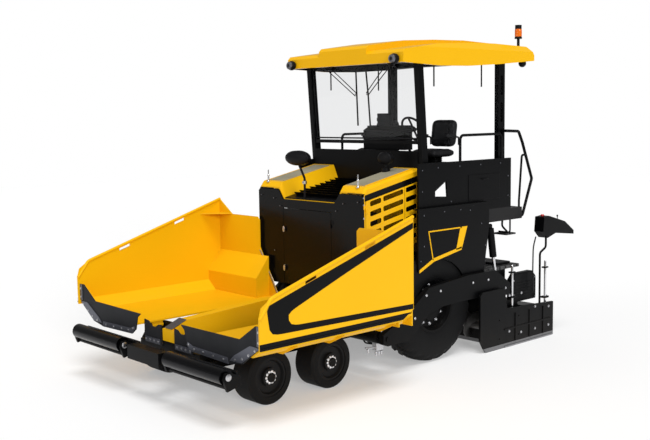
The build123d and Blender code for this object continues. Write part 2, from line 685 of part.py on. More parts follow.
def hood():
    """Yellow hood: shell with two shoulders and a sunk middle, front panel and its door."""
    t = PANEL
    shell = hood_body(0, HOOD_REAR_X, HOOD_FRONT_X - t) - hood_body(t, HOOD_REAR_X - 10,
                                                                    HOOD_FRONT_X - t + 10)
    hole = cover_blank(AIR)
    shell = shell - hole - mirrored(hole)
    slots = vent_slots(COLUMNS[2:])
    shell = shell - slots - mirrored(slots)
    fixed, moving = side_door_hinges()
    shell = shell + fixed + mirrored(fixed)
    shell = shell - across(0, REAR_TYRE_R, ARCH_R, -HOOD_HALF - 9, HOOD_HALF + 9)
    back = extrude(hood_section(HOOD_REAR_X, 0), amount=t, dir=(-1, 0, 0))
    floor = REAR_TYRE_R + ARCH_R - 5
    keep("hood_shell", shell + (back & block(0, HOOD_FRONT_X, -HOOD_HALF, HOOD_HALF, floor, SILL_Z)))

    front = extrude(hood_section(HOOD_FRONT_X, 0), amount=t, dir=(-1, 0, 0))
    cut, knee = HOOD_HALF - 265, MOUTH_TOP + 400
    skirt = [(-HOOD_HALF, knee), (-cut, MOUTH_TOP), (cut, MOUTH_TOP), (HOOD_HALF, knee),
             (HOOD_HALF, SILL_Z),
             (-HOOD_HALF, SILL_Z)]
    low = block(HOOD_FRONT_X - t, HOOD_FRONT_X, -HOOD_HALF, HOOD_HALF, MOUTH_TOP, HOOD_BOTTOM)
    front = (front + low) & front_plate(skirt, HOOD_FRONT_X - t, HOOD_FRONT_X)
    gap = AIR / 2
    front = front - block(HOOD_FRONT_X - t - 1, HOOD_FRONT_X + 1, DOOR_FREE_Y - gap, DOOR_HINGE_Y + gap,
                          MOUTH_TOP - 1,
                          DOOR_TOP + gap)
    heights = (MOUTH_TOP + 190, DOOR_TOP - 140)
    fixed, moving = door_hinges(lambda along_, out: (HOOD_FRONT_X + out, DOOR_HINGE_Y - along_), heights)
    keep("hood_front", front + fixed)
    leaf = block(HOOD_FRONT_X - t, HOOD_FRONT_X, DOOR_FREE_Y + gap, DOOR_HINGE_Y - gap, MOUTH_TOP + AIR,
                 DOOR_TOP - gap)
    keep("front_door", leaf + moving)
    keep("engine_block", block(HOOD_REAR_X + 80, HOOD_FRONT_X - 190, -330, 330, TUNNEL_TOP,
                               TUNNEL_TOP + 690))


def hood_deck():
    """Dark plate with louvres in the sunk middle of the hood."""
    x0, x1, t = HOOD_REAR_X + 10, HOOD_FRONT_X - 30, 15
    half = SHOULDER_IN - TROUGH_SLOPE - 8
    deck = side_plate([(x0, trough_top(x0)), (x1, trough_top(x1)), (x1, trough_top(x1) + t),
                       (x0, trough_top(x0) + t)],
                      -half, half)
    for i in range(9):
        x = x0 + 60 + 85 * i
        low, high = trough_top(x) + t - 3, trough_top(x) + 50
        deck = deck + side_plate([(x, low), (x + 12, low), (x + 50, high), (x + 38, high)], 60 - half,
                                 half - 60)
    keep("hood_deck", deck)


def cover_blank(grow):
    """Side cover's place in the hood's side; its lower rear corner follows the wheel arch."""
    x0, x1 = COVER_REAR_X - grow, COVER_HINGE_X - AIR / 2 + grow
    y0, y1 = HOOD_HALF - PANEL, HOOD_HALF
    if grow:
        y0, y1 = y0 - PANEL, y1 + PANEL
    blank = side_plate([(x0, COVER_BOTTOM - grow), (x1, COVER_BOTTOM - grow),
                        (x1, row_line(x1, COVER_DROP) + grow),
                        (x0, row_line(x0, COVER_DROP) + grow)], y0, y1)
    return blank - across(0, REAR_TYRE_R, ARCH_R + 40 - grow, y0 - 1, y1 + 1)


def vent_slots(columns):
    """Rows of oblong slots that rise towards the rear."""
    y0, y1 = HOOD_HALF - PANEL - 1, HOOD_HALF + 1
    high = 58
    slots = None
    for front, rear in columns:
        x0, x1 = HOOD_FRONT_X + rear, HOOD_FRONT_X + front
        for row in range(ROWS):
            drop = ROW_DROP + ROW_PITCH * row
            slot = side_plate([(x0, row_line(x0, drop)), (x1, row_line(x1, drop)),
                               (x1, row_line(x1, drop) - high),
                               (x0, row_line(x0, drop) - high)], y0, y1, 18)
            slots = slot if slots is None else slots + slot
    return slots - across(0, REAR_TYRE_R, ARCH_R + 60, y0 - 1, y1 + 1)


def side_door_hinges():
    return door_hinges(lambda along_, out: (COVER_HINGE_X - along_, HOOD_HALF + out),
                       (COVER_BOTTOM + 124, HOOD_TOP_FRONT - 160))


def side_door():
    """Vented side cover: two columns of slots."""
    moving = side_door_hinges()[1]
    keep_pair("side_door", (cover_blank(0) - vent_slots(COLUMNS[:2])) + moving)


# ---------------------------------------------------------------- fenders, body and platform
def fender():
    """Black side panel over the rear wheel, its inner arch, and the ear of the lift cylinder."""
    t = FENDER_T
    y0, y1 = FENDER_OUT - t, FENDER_OUT
    rear, front = BODY_REAR_X, BODY_FRONT_X
    deck_low = PLATFORM_TOP - PLATFORM_T
    skin_front = front + 240
    skin = side_plate([(skin_front, REAR_TYRE_R + 300), (skin_front, SKIN_TOP), (rear - 180, SKIN_TOP),
                       (rear - 180, 1540),
                       (rear - 80, 990)], y0, y1)
    skin = skin - across(0, REAR_TYRE_R, SKIN_ARCH_R, y0 - 1, y1 + 1)
    shelf = block(rear - 180, skin_front, PLATFORM_HALF + 2, y0, SKIN_TOP - SHEET, SKIN_TOP)
    webs = block(front - t, front, BODY_HALF, y0, REAR_TYRE_R + LINER_R - 5, deck_low)
    webs = webs + block(rear, rear + t, BODY_HALF, y0, 1060, deck_low)
    for x in (front - t, rear):
        webs = webs + block(x, x + t, PLATFORM_HALF + 2, y0, deck_low, SKIN_TOP)
    x, z = LIFT_FOOT
    ear = side_plate([(rear, z - 60), (x - 25, z - 22), (x - 25, z + 22), (rear, z + 60)],
                     LIFT_Y - EAR_GAP - EAR_T, LIFT_Y - EAR_GAP)
    ear = ear + across(x, z, PIN_R, LIFT_Y - EAR_GAP - EAR_T, LIFT_Y + EAR_T)
    ring_in, ring_out = BODY_HALF + 1, y0
    liner = across(0, REAR_TYRE_R, LINER_R + SHEET, ring_in, ring_out) - across(0, REAR_TYRE_R, LINER_R,
                                                                                ring_in - 1,
                                                                               ring_out + 1)
    under_skin = liner & block(rear + 1, skin_front, ring_in, ring_out, 1010, SKIN_TOP)
    under_hood = liner & block(skin_front, 640, ring_in, HOOD_HALF, 1010, SKIN_TOP)
    web = across(0, REAR_TYRE_R, LINER_R + SHEET, BODY_HALF - 13, ring_in) & block(front, 640, 0, ring_in,
                                                                                   TUNNEL_TOP,
                                                                                 SKIN_TOP)
    shape = skin + shelf + webs + ear + under_skin + under_hood + web
    keep("rear_body", shape + mirrored(shape) + body_box())


def body_box():
    """Closed housing for tanks and hydraulics under the platform."""
    t = PANEL
    low, high = TUNNEL_TOP, PLATFORM_TOP - PLATFORM_T
    outer = block(BODY_REAR_X, BODY_FRONT_X, -BODY_HALF, BODY_HALF, low, high)
    return outer - block(BODY_REAR_X + t, BODY_FRONT_X - t, t - BODY_HALF, BODY_HALF - t, low + t, high - t)


def platform():
    """Deck with the rear bumper, side walls with a window, front wall and the seat lockers."""
    low = PLATFORM_TOP - PLATFORM_T
    deck = block(PLATFORM_REAR_X, BODY_FRONT_X, -PLATFORM_HALF, PLATFORM_HALF, low, PLATFORM_TOP)
    deck = deck + block(BUMPER_REAR_X, PLATFORM_REAR_X, -PLATFORM_HALF, PLATFORM_HALF, BUMPER_BOTTOM,
                        BUMPER_TOP)
    side_box = block(PLATFORM_REAR_X, LIFT_FOOT[0] + 40, BODY_HALF + 1, PLATFORM_HALF, BUMPER_BOTTOM, low)
    keep("platform_deck", deck + side_box + mirrored(side_box))
    y0, y1 = PLATFORM_HALF - WALL_T, PLATFORM_HALF
    wall = side_plate([(PLATFORM_REAR_X, PLATFORM_TOP), (BODY_FRONT_X, PLATFORM_TOP),
                       (BODY_FRONT_X + 145, SKIN_TOP),
                       (BODY_FRONT_X + 145, SIDE_WALL_TOP), (PLATFORM_REAR_X, SIDE_WALL_TOP)], y0, y1)
    window = side_plate([(BODY_FRONT_X - 148, PLATFORM_TOP + 230), (BODY_FRONT_X - 148, PLATFORM_TOP + 290),
                         (BODY_FRONT_X - 352, PLATFORM_TOP + 407), (BODY_FRONT_X - 370,
                                                                    PLATFORM_TOP + 215)],
                        y0 - 1, y1 + 1)
    wall = wall - window
    front_x = BODY_FRONT_X - WALL_T
    wall = wall + block(front_x, BODY_FRONT_X, 0, POST_IN - 2, PLATFORM_TOP, FRONT_WALL_TOP)
    wall = wall + block(front_x, BODY_FRONT_X, POST_OUT + 2, y0, PLATFORM_TOP, SIDE_WALL_TOP)
    x0, x1, yl = REAR_POST_X + REAR_POST_DEEP + 10, BODY_FRONT_X - 720, PLATFORM_HALF - 310
    t, top = PANEL, PLATFORM_TOP + 550
    locker = block(x0, x1, yl, y0, PLATFORM_TOP, top)
    locker = locker - block(x0 + t, x1 - t, yl + t, y0 - t, PLATFORM_TOP + t, top - t)
    keep_both("platform_walls", wall + locker)


SEAT_Y = 500
DESK_TOP = PLATFORM_TOP + 1070


def console():
    """Operator's desk across the platform with the steering wheel."""
    back, low = -200, FRONT_WALL_TOP
    desk = side_plate([(back, low), (-52, low), (-52, DESK_TOP - 60), (back + 30, DESK_TOP),
                       (back, DESK_TOP - 20)],
                      -150, SEAT_Y + 50)
    stand = block(back + 60, -60, 60, 380, PLATFORM_TOP, low)
    hub = (back - 100, SEAT_Y - 20, DESK_TOP - 50)
    column = rod((back + 50, SEAT_Y - 20, DESK_TOP - 130), hub, 22)
    wheel = Plane(origin=hub, z_dir=(-0.83, 0, 0.55))
    shape = desk + stand + column + wheel * Torus(170, 14)
    keep("console", shape + wheel * (Box(340, 24, 12) + Box(24, 340, 12) + Cylinder(40, 16)))


def seats():
    """Two seats, each on an arm that stands on the locker."""
    low, pan = PLATFORM_TOP + 550, PLATFORM_TOP + 670
    x0, x1 = -860, -400
    arm = block(x0 - 90, x1 - 160, SEAT_Y - 160, PLATFORM_HALF - 35, low, low + 40)
    post = block(x0 + 110, x1 - 150, SEAT_Y - 110, SEAT_Y + 110, low + 40, pan)
    cushion = block(x0, x1, SEAT_Y - 225, SEAT_Y + 225, pan, pan + 90)
    back = side_plate([(x0 - 10, pan + 90), (x0 + 95, pan + 90), (x0 + 35, pan + 470),
                       (x0 - 50, pan + 470)],
                      SEAT_Y - 215, SEAT_Y + 215)
    keep_both("seats", arm + post + cushion + back)


# ---------------------------------------------------------------- canopy
ROOF_CROWN = ((ROOF_REAR_X, 241), (ROOF_REAR_X + 80, 354), (-1340, 374), (-750, 362), (-196, 333),
              (ROOF_FRONT_X - 40, 253),
              (ROOF_FRONT_X, 215))
ROOF_EDGE = ((ROOF_FRONT_X, 30), (-200, 2), (-750, 10), (-1345, 44), (ROOF_REAR_X, 100))


def roof_slice(half, drop):
    points = [(x, ROOF_BOTTOM + z - drop) for x, z in ROOF_CROWN] + [(x, ROOF_BOTTOM + z) for x,
                                                                     z in ROOF_EDGE]
    return side_plate(points, -half, half)


def roof():
    """Moulded canopy: crowned along its length, with a raised middle and bevelled sides, hollow below."""
    half, bevel = ROOF_HALF, 90
    low, high = ROOF_BOTTOM - 10, ROOF_TOP - CREST_HIGH
    sides = front_plate([(-half, low), (-half, high - bevel), (bevel - half, high), (half - bevel, high),
                         (half, high - bevel), (half, low)], ROOF_REAR_X, ROOF_FRONT_X)
    canopy = (roof_slice(half, CREST_HIGH) & sides) + roof_slice(CREST_HALF, 0)
    w = ROOF_WALL
    keep("roof", canopy - block(ROOF_REAR_X + w, ROOF_FRONT_X - w, w - half, half - w, low - 1, CEILING))


def lean(z):
    """Rear face of the front posts, which lean forwards."""
    return FRONT_POST_X + POST_LEAN * (z - FRONT_WALL_TOP) / (CEILING - FRONT_WALL_TOP)


def leaning(z0, z1, start, deep, y0, y1):
    """Slab parallel to the front posts."""
    return side_plate([(lean(z0) + start, z0), (lean(z0) + start + deep, z0), (lean(z1) + start + deep, z1),
                       (lean(z1) + start, z1)], y0, y1)


def posts():
    """Leaning front posts with the windscreen between them, and slotted rear posts."""
    y0, y1 = POST_IN, POST_OUT
    front = leaning(PLATFORM_TOP, CEILING, 0, FRONT_POST_DEEP, y0, y1)
    front = front + mirrored(front)
    bar = 60
    for z0, z1 in ((CEILING - bar, CEILING), (SILL_Z, SILL_Z + 40)):
        front = front + leaning(z0, z1, 10, FRONT_POST_DEEP - 20, -y0, y0)
    rear = block(REAR_POST_X, REAR_POST_X + REAR_POST_DEEP, y0, y1, PLATFORM_TOP, CEILING)
    x, r = REAR_POST_X + REAR_POST_DEEP / 2, 26
    for z in (2520, 2860, 3200):
        slot = block(x - r, x + r, y0 - 1, y1 + 1, z, z + 200)
        rear = rear - slot - across(x, z, r, y0 - 1, y1 + 1) - across(x, z + 200, r, y0 - 1, y1 + 1)
    rear = rear + mirrored(rear) + block(REAR_POST_X, REAR_POST_X + bar, -y0, y0, CEILING - bar, CEILING)
    keep("canopy_posts", front + rear)
    keep("windscreen", leaning(SILL_Z + 40, CEILING - bar, FRONT_POST_DEEP / 2 - 4, 8, -y0, y0))


def lamps_and_beacon():
    """Ball lamps at the front corners and below the rear, and the beacon on the rear corner."""
    x, y, z = ROOF_FRONT_X + 35, ROOF_HALF - 110, ROOF_BOTTOM + 70
    ball = Pos(x, y, z) * Sphere(60) - block(ROOF_FRONT_X - 100, ROOF_FRONT_X, y - 100, y + 100, z - 100,
                                             z + 100)
    x = ROOF_REAR_X + 110
    ball = ball + (Pos(x, y, z) * Sphere(50) & block(x - 60, x + 60, y - 60, y + 60, z - 60, CEILING))
    ball = ball + rod((x, y, z), (x, y, CEILING), 15)
    for x in (-200, -1100):
        ball = ball + rod((x, y, CEILING - 370), (x, y, CEILING), 9)
    x, top = ROOF_REAR_X + 200, ROOF_TOP - CREST_HIGH
    beacon = rod((x, y, top - 100), (x, y, top + 90), 18) + rod((x, y, top + 80), (x, y, top + 100), 48)
    beacon = beacon + rod((x, y, top + 100), (x, y, ROOF_TOP + 186), 42)
    keep("roof_lamps", ball + mirrored(ball) + (beacon - nodes["roof"]))


def mirrors():
    """Oval mirrors on stalks that stand on the hood."""
    x, y, z = HOOD_FRONT_X - 60, -230, 2450
    far = bent_tube([(x, y + 110, trough_top(x)), (x, y + 110, z - 240), (x, y, z - 60)], 60, 14)
    far = far + Pos(x - 20, y, z) * Rot(0, 90, 0) * extrude(Ellipse(90, 210), amount=50)
    x, y = HOOD_REAR_X + 200, SHOULDER_IN + 50
    near = rod((x, y, hood_top(x) - 20), (x, y, z - 60), 16) + rod((x, y, hood_top(x) - 5),
                                                                   (x, y, hood_top(x) + 45), 50)
    near = near + Pos(x - 25, y, z - 10) * Rot(0, 90, 0) * extrude(Ellipse(75, 110), amount=55)
    keep("mirrors", (far + near) - nodes["hood_shell"] - nodes["hood_deck"])


def handrails():
    """Guard hoops behind the platform and a rail on each side wall."""
    y, r = PLATFORM_HALF - 30, 19
    top = PLATFORM_TOP + 974
    start = REAR_POST_X + 60
    foot = BUMPER_BOTTOM + 30
    hoop = bent_tube([(start, y, top), (-1715, y, top - 12), (-1800, y, top - 160), (-2010, y, top - 640),
                      (-1810, y, foot), (BUMPER_REAR_X, y, foot)], 45, r)
    hoop = hoop + across(start, top, r - 4, POST_OUT, y)
    inner = bent_tube([(-1868, y, top - 322), (-1790, y, top - 322),
                       (BUMPER_REAR_X + 25, y, BUMPER_TOP + 80),
                       (BUMPER_REAR_X + 25, y, BUMPER_TOP)], 30, 14)
    y = PLATFORM_HALF - WALL_T / 2
    x0, x1 = REAR_POST_X + 160, BODY_FRONT_X - 620
    rail = bent_tube([(x0, y, SIDE_WALL_TOP), (x0, y, top - 34), (x1, y, top - 34), (x1, y, SIDE_WALL_TOP)],
                     60, r - 2)
    keep_both("handrails", hoop + inner + rail)


# ---------------------------------------------------------------- tow arms and screed
def tow_arm():
    """Cranked arm from the tow point over the rear wheel to the screed, with the lift cylinder's pin."""
    y0, y1 = ARM_IN, ARM_IN + ARM_T
    arm = side_plate([
        (TOW_X + 70, TOW_Z - 50), (TOW_X + 70, TOW_Z + 60), (560, 720), (250, 940), (-450, 1000), (-1000,
                                                                                                   1000),
        (-1300, 800), (-1300, 640), (-1000, 700), (-450, 700), (0, 690), (250, 640), (600, 380), (TOW_X,
                                                                                                  TOW_Z - 80),
    ], y0, y1)
    arm = arm - across(TOW_X, TOW_Z, 2 * PIN_R + 0.5, y0 - 1, y1 + 1)
    keep_both("tow_arms", arm + across(LIFT_EYE[0], LIFT_EYE[1], PIN_R, LIFT_Y - EAR_T, y0))


def screed():
    """Fixed screed with its walkway."""
    front, rear, top = SCREED_FRONT_X, SCREED_REAR_X, SCREED_HIGH
    step, half = 560, LIFT_Y - 110
    body = side_plate([(front, 60), (front - 40, 0), (rear, 0), (rear, step - 80), (rear + 60, step),
                       (front, step)],
                      -SCREED_HALF, SCREED_HALF)
    body = body + block(rear + 60, front, -half, half, step, top)
    bracket = block(front - 220, front - 145, half, SCREED_HALF, step - 1, step + 230)
    keep("screed_body", body + bracket + mirrored(bracket))
    keep("screed_walkway", block(rear - 240, front, -half, half, top, top + 40))


def extension():
    """Sliding screed half with its end plate and the control desk on a post."""
    front = SCREED_REAR_X - SEAT_GAP
    y0, y1 = END_PLATE_OUT - END_PLATE_T, END_PLATE_OUT
    body = side_plate([(front, 40), (front - 40, 0), (EXT_REAR_X, 0), (EXT_REAR_X, 300),
                       (EXT_REAR_X + 90, 400),
                       (front, 470)], 20, y0)
    nose, step = AUGER_X + 235, SCREED_FRONT_X - 20
    plate = side_plate([(nose - 65, 60), (nose, 163), (nose, END_PLATE_TOP + 220),
                        (nose - 45, END_PLATE_TOP + 265),
                        (step, END_PLATE_TOP + 265), (step - 60, END_PLATE_TOP), (EXT_REAR_X,
                                                                                  END_PLATE_TOP - 50),
                        (EXT_REAR_X, 0), (nose - 110, 0)], y0, y1)
    for x in (-1, 1):
        for z in (-1, 1):
            plate = plate - across(BOLT_X + x * BOLT_SPACING_X / 2, BOLT_Z + z * BOLT_SPACING_Z / 2,
                                   BOLT_HOLE_R,
                                   y0 - 1, y1 + 1)
    keep_pair("extension", body + plate)
    y, x = y1 - END_PLATE_T / 2, PANEL_POST_X
    foot = END_PLATE_TOP - 50 * (step - 60 - x) / (step - 60 - EXT_REAR_X)
    post = bent_tube([(x, y, foot - 5), (x, y, 1130), (x - 130, y, 1190), (x - 130, y, 1340)], 50, 14)
    rear = CONTROL_REAR_X
    desk = side_plate([(rear + 600, 1310), (rear + 700, 1400), (rear + 680, 1590), (rear + 570, 1600),
                       (rear + 210, 1500),
                       (rear, 1360), (rear, 1310), (rear + 420, 1360)], y0 - 115, y1)
    keep_pair("control_panel", (post - plate) + desk)


# ---------------------------------------------------------------- augers
def auger():
    """Shaft with one helical flight, lofted between radial sections."""
    y_start = GEARBOX_HALF + SEAT_GAP
    inner = AUGER_SHAFT_R - 8
    sections = []
    for i in range(int(AUGER_LONG / AUGER_PITCH * STEPS_PER_TURN) + 1):
        angle = radians(360 * i / STEPS_PER_TURN)
        y = y_start + 20 + i * AUGER_PITCH / STEPS_PER_TURN
        plane = Plane(origin=(AUGER_X, y, AUGER_Z), x_dir=(cos(angle), 0, sin(angle)),
                      z_dir=(sin(angle), 0, -cos(angle)))
        sections.append(plane * Pos((inner + AUGER_R) / 2, 0, 0) * Rectangle(AUGER_R - inner, FLIGHT_T))
    shaft = across(AUGER_X, AUGER_Z, AUGER_SHAFT_R, y_start, y_start + AUGER_LONG + 40)
    keep_pair("auger", shaft + loft(sections, ruled=True))


# ---------------------------------------------------------------- hydraulic cylinders
CAP = 25                # closed end of a barrel
FOOT_REACH = 30         # from the foot pin to the barrel
ROD_HELD = 45           # length of rod that always stays in the barrel


def ram(foot, eye, radius, stroke, eye_bore, place, pin_way):
    """Barrel with its foot eye, and rod with its end eye, between two parallel pins.

    stroke is how far the rod moves in (below zero) or out (above zero) from its place here.
    place turns an (a, b) point into (x, y, z); pin_way is the pins' direction.
    """
    start, end = Vector(*place(foot)), Vector(*place(eye))
    way = (end - start).normalized()
    width, bore = 24, PIN_R + 0.5
    rod_r, inner_r = radius * 0.5, radius * 0.75

    def ring(middle, outer, hole):
        at = Plane(origin=middle - pin_way * width / 2, z_dir=pin_way)
        return at * extrude(Circle(outer) - Circle(hole), amount=width)

    def tube(first, last, outer, hole=0):
        section = Circle(outer) - Circle(hole) if hole else Circle(outer)
        return Plane(origin=start + way * first, z_dir=way) * extrude(section, amount=last - first)

    piston_start = FOOT_REACH + CAP + max(0, -stroke) + 8
    barrel_end = piston_start + max(0, stroke) + ROD_HELD
    barrel = tube(FOOT_REACH, barrel_end, radius, inner_r) + tube(barrel_end, barrel_end + 20, radius,
                                                                  rod_r + SEAT_GAP)
    barrel = barrel + tube(FOOT_REACH, FOOT_REACH + CAP, radius) + ring(start, bore + 17, bore)
    hole = Plane(origin=start - pin_way * width, z_dir=pin_way) * extrude(Circle(bore), amount=2 * width)
    piston = tube(piston_start, (end - start).length - eye_bore - 4, rod_r) + ring(end, eye_bore + 16,
                                                                                   eye_bore)
    return barrel - hole, piston


def wing_rams():
    barrel, piston = ram(WING_FOOT, WING_EYE, 38, WING_STROKE, PIN_R + 8,
                         lambda p: (WING_RAM_X, p[0], p[1]), Vector(1, 0, 0))
    keep_pair("wing_barrel", barrel)
    keep_pair("wing_rod", piston)


def lift_rams():
    barrel, piston = ram(LIFT_FOOT, LIFT_EYE, 45, -LIFT_STROKE, PIN_R + 6,
                         lambda p: (p[0], LIFT_Y, p[1]), Vector(0, 1, 0))
    keep_both("lift_barrels", barrel)
    keep_both("lift_rods", piston)


# ---------------------------------------------------------------- build and write
for build in (chassis, axle_carriers, conveyor_deck, conveyors, centre_flap, wing, wing_flap, push_beam,
              rear_wheel,
              front_wheels, bogies, hood, hood_deck, side_door, fender, platform, console, seats, roof, posts,
              lamps_and_beacon, mirrors, handrails, tow_arm, screed, extension, auger, wing_rams, lift_rams):
    build()

os.makedirs("parts", exist_ok=True)
for name, shape in nodes.items():
    export_step(Pos(SHIFT_X, 0, 0) * shape, f"parts/{name}.step")
print(len(nodes), "nodes")
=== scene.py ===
# %% [markdown]
# # A wheeled asphalt paver, dressed piece by piece
# The machine's solids come ready made, in metres, with the ground at height 0, the driving direction
# along +X and the machine's left along +Y. This lesson gives them their paint, steel, rubber and glass,
# and adds what is too fine for the solids: tread, nuts, seams, latches, wipers, hoses and lamps.
# Nothing is moved: every new piece is made where it belongs and then rides on one of the machine's bodies.

# %% Load the machine
import bpy
import json
import numpy as np
from mathutils import Matrix, Vector

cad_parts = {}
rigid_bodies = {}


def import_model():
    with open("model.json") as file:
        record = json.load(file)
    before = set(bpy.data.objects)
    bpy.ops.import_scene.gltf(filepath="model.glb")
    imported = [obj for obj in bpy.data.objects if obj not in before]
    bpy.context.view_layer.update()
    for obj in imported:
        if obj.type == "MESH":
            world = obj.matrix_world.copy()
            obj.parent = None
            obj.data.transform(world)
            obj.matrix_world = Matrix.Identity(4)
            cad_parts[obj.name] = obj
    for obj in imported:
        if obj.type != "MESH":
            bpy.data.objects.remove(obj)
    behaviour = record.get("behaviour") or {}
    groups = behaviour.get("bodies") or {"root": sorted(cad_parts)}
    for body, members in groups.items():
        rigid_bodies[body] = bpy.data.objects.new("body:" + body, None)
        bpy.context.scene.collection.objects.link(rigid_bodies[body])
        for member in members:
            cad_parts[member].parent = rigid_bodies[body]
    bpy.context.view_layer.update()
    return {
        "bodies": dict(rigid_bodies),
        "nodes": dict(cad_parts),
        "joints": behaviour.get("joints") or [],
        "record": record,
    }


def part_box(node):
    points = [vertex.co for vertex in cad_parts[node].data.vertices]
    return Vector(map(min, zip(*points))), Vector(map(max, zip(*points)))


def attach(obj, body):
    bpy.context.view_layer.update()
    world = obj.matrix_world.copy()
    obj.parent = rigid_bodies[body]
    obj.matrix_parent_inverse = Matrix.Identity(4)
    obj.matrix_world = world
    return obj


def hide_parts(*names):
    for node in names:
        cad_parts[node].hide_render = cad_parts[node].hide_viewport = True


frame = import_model()
scene = bpy.context.scene
nodes = frame["nodes"]

# %% [markdown]
# ## Where things are
# A paver's maker measures everything from the rear axle. `AXLE` is that axle's place along the machine,
# read from the rear wheel itself, and `at` turns a measure from the axle into a place in the scene. All
# further measures in this file are from the axle, the machine's middle and the ground.

# %% Places measured from the rear axle
low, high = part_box("rear_rim_left")
AXLE = (low[0] + high[0]) / 2
AXLE_HEIGHT = (low[2] + high[2]) / 2


def at(x, y, z):
    """A place given from the rear axle, the middle plane and the ground."""
    return (x + AXLE, y, z)


def edge(node, axis, side):
    """One face of a node's box: axis 0 to 2, side 0 for the low face and 1 for the high one, along X from the axle."""
    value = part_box(node)[side][axis]
    return value - AXLE if axis == 0 else value


print("rear axle at", round(AXLE, 3), "m, height", round(AXLE_HEIGHT, 3), "m")

# %% [markdown]
# ## Camera
# The camera stands about eleven metres off the left front corner, a little above the bonnet's height, with
# a long lens, as for a brochure picture. It is turned by aiming its -Z axis at a point on the machine and
# then rolled by less than a degree.

# %% Camera off the left front corner
eye, aim, roll = Vector(at(8.638, 8.613, 2.993)), Vector(at(0.933, 0.18, 1.723)), -0.015
camera_data = bpy.data.cameras.new("brochure_camera")
camera_data.sensor_width = 36.0
camera_data.lens = 53.67
camera = bpy.data.objects.new("brochure_camera", camera_data)
scene.collection.objects.link(camera)
turn = (aim - eye).to_track_quat("-Z", "Y").to_matrix().to_4x4()
camera.matrix_world = Matrix.Translation(eye) @ turn @ Matrix.Rotation(roll, 4, "Z")
scene.camera = camera
print("camera", round((aim - eye).length, 2), "m from its aim")

# %% [markdown]
# ## Helpers for shader nodes
# A material is a small network. Writing it with full node calls hides the idea, so three helpers keep the
# cells short: `node` adds one node with its settings, `join` links an output to an input, and `calc` is
# one arithmetic node. `new_group` starts a node group, which is a network that several materials share.

# %% Shader helpers
def node(tree, kind, **settings):
    made = tree.nodes.new("ShaderNode" + kind)
    for name, value in settings.items():
        setattr(made, name, value)
    return made


def join(tree, source, target):
    """Links an output to an input, or writes a plain value into the input."""
    if isinstance(source, bpy.types.NodeSocket):
        tree.links.new(source, target)
    else:
        target.default_value = source


def calc(tree, operation, *values, clamp=False):
    made = node(tree, "Math", operation=operation, use_clamp=clamp)
    for socket, value in zip(made.inputs, values):
        join(tree, value, socket)
    return made.outputs[0]


def blend_colour(tree, mask, first, second):
    """Mixes two colours by a mask: first at 0, second at 1."""
    made = node(tree, "Mix", data_type="RGBA")
    join(tree, mask, made.inputs[0])
    join(tree, first, made.inputs[6])
    join(tree, second, made.inputs[7])
    return made.outputs[2]


def blend_value(tree, mask, first, second):
    made = node(tree, "Mix", data_type="FLOAT")
    join(tree, mask, made.inputs[0])
    join(tree, first, made.inputs[2])
    join(tree, second, made.inputs[3])
    return made.outputs[0]


def new_group(name, inputs, outputs):
    """Starts a node group: inputs are (name, type, value), outputs are (name, type)."""
    group = bpy.data.node_groups.new(name, "ShaderNodeTree")
    for label, kind, value in inputs:
        socket = group.interface.new_socket(label, in_out="INPUT", socket_type="NodeSocket" + kind)
        socket.default_value = value
    for label, kind in outputs:
        group.interface.new_socket(label, in_out="OUTPUT", socket_type="NodeSocket" + kind)
    return group, group.nodes.new("NodeGroupInput"), group.nodes.new("NodeGroupOutput")


def use(tree, group, **values):
    """Places a group in a material and fills its inputs by name, with _ for a space."""
    made = tree.nodes.new("ShaderNodeGroup")
    made.node_tree = group
    for name, value in values.items():
        join(tree, value, made.inputs[name.replace("_", " ")])
    return made.outputs


print("shader helpers ready")

# %% [markdown]
# ## Effects that many finishes share
# Sprayed paint is never one colour: it drifts a little over a panel, and its surface has a fine orange-peel
# texture. `paint_skin` gives both. It reads Object coordinates, so the pattern has a real size in metres.

# %% Group: the skin of sprayed paint
paint_skin, take, give = new_group("paint_skin", [("Colour", "Color", (0.5, 0.5, 0.5, 1)), ("Drift", "Float", 0.06),
                                                  ("Base Roughness", "Float", 0.35), ("Peel", "Float", 0.0004)],
                                   [("Colour", "Color"), ("Roughness", "Float"), ("Normal", "Vector")])
place = node(paint_skin, "TexCoord").outputs["Object"]
broad = node(paint_skin, "TexNoise")
join(paint_skin, place, broad.inputs["Vector"])
join(paint_skin, 1.7, broad.inputs["Scale"])
join(paint_skin, 4.0, broad.inputs["Detail"])
shift = calc(paint_skin, "MULTIPLY", calc(paint_skin, "SUBTRACT", broad.outputs[0], 0.5), take.outputs["Drift"])
tint = node(paint_skin, "HueSaturation")
join(paint_skin, calc(paint_skin, "ADD", shift, 1.0), tint.inputs["Value"])
join(paint_skin, take.outputs["Colour"], tint.inputs["Color"])
join(paint_skin, tint.outputs[0], give.inputs["Colour"])
join(paint_skin, calc(paint_skin, "ADD", take.outputs["Base Roughness"], calc(paint_skin, "MULTIPLY", shift, 1.5)),
     give.inputs["Roughness"])
fine = node(paint_skin, "TexNoise")
join(paint_skin, place, fine.inputs["Vector"])
join(paint_skin, 160.0, fine.inputs["Scale"])
bump = node(paint_skin, "Bump")
join(paint_skin, fine.outputs[0], bump.inputs["Height"])
join(paint_skin, take.outputs["Peel"], bump.inputs["Distance"])
join(paint_skin, bump.outputs[0], give.inputs["Normal"])
print("paint_skin:", len(paint_skin.nodes), "nodes")

# %% [markdown]
# Paint is thin on edges, where boots and ropes rub it. A Bevel node rounds the normal near an edge, so the
# difference between the rounded and the true normal is a mask of the edges. Noise breaks it into chips.

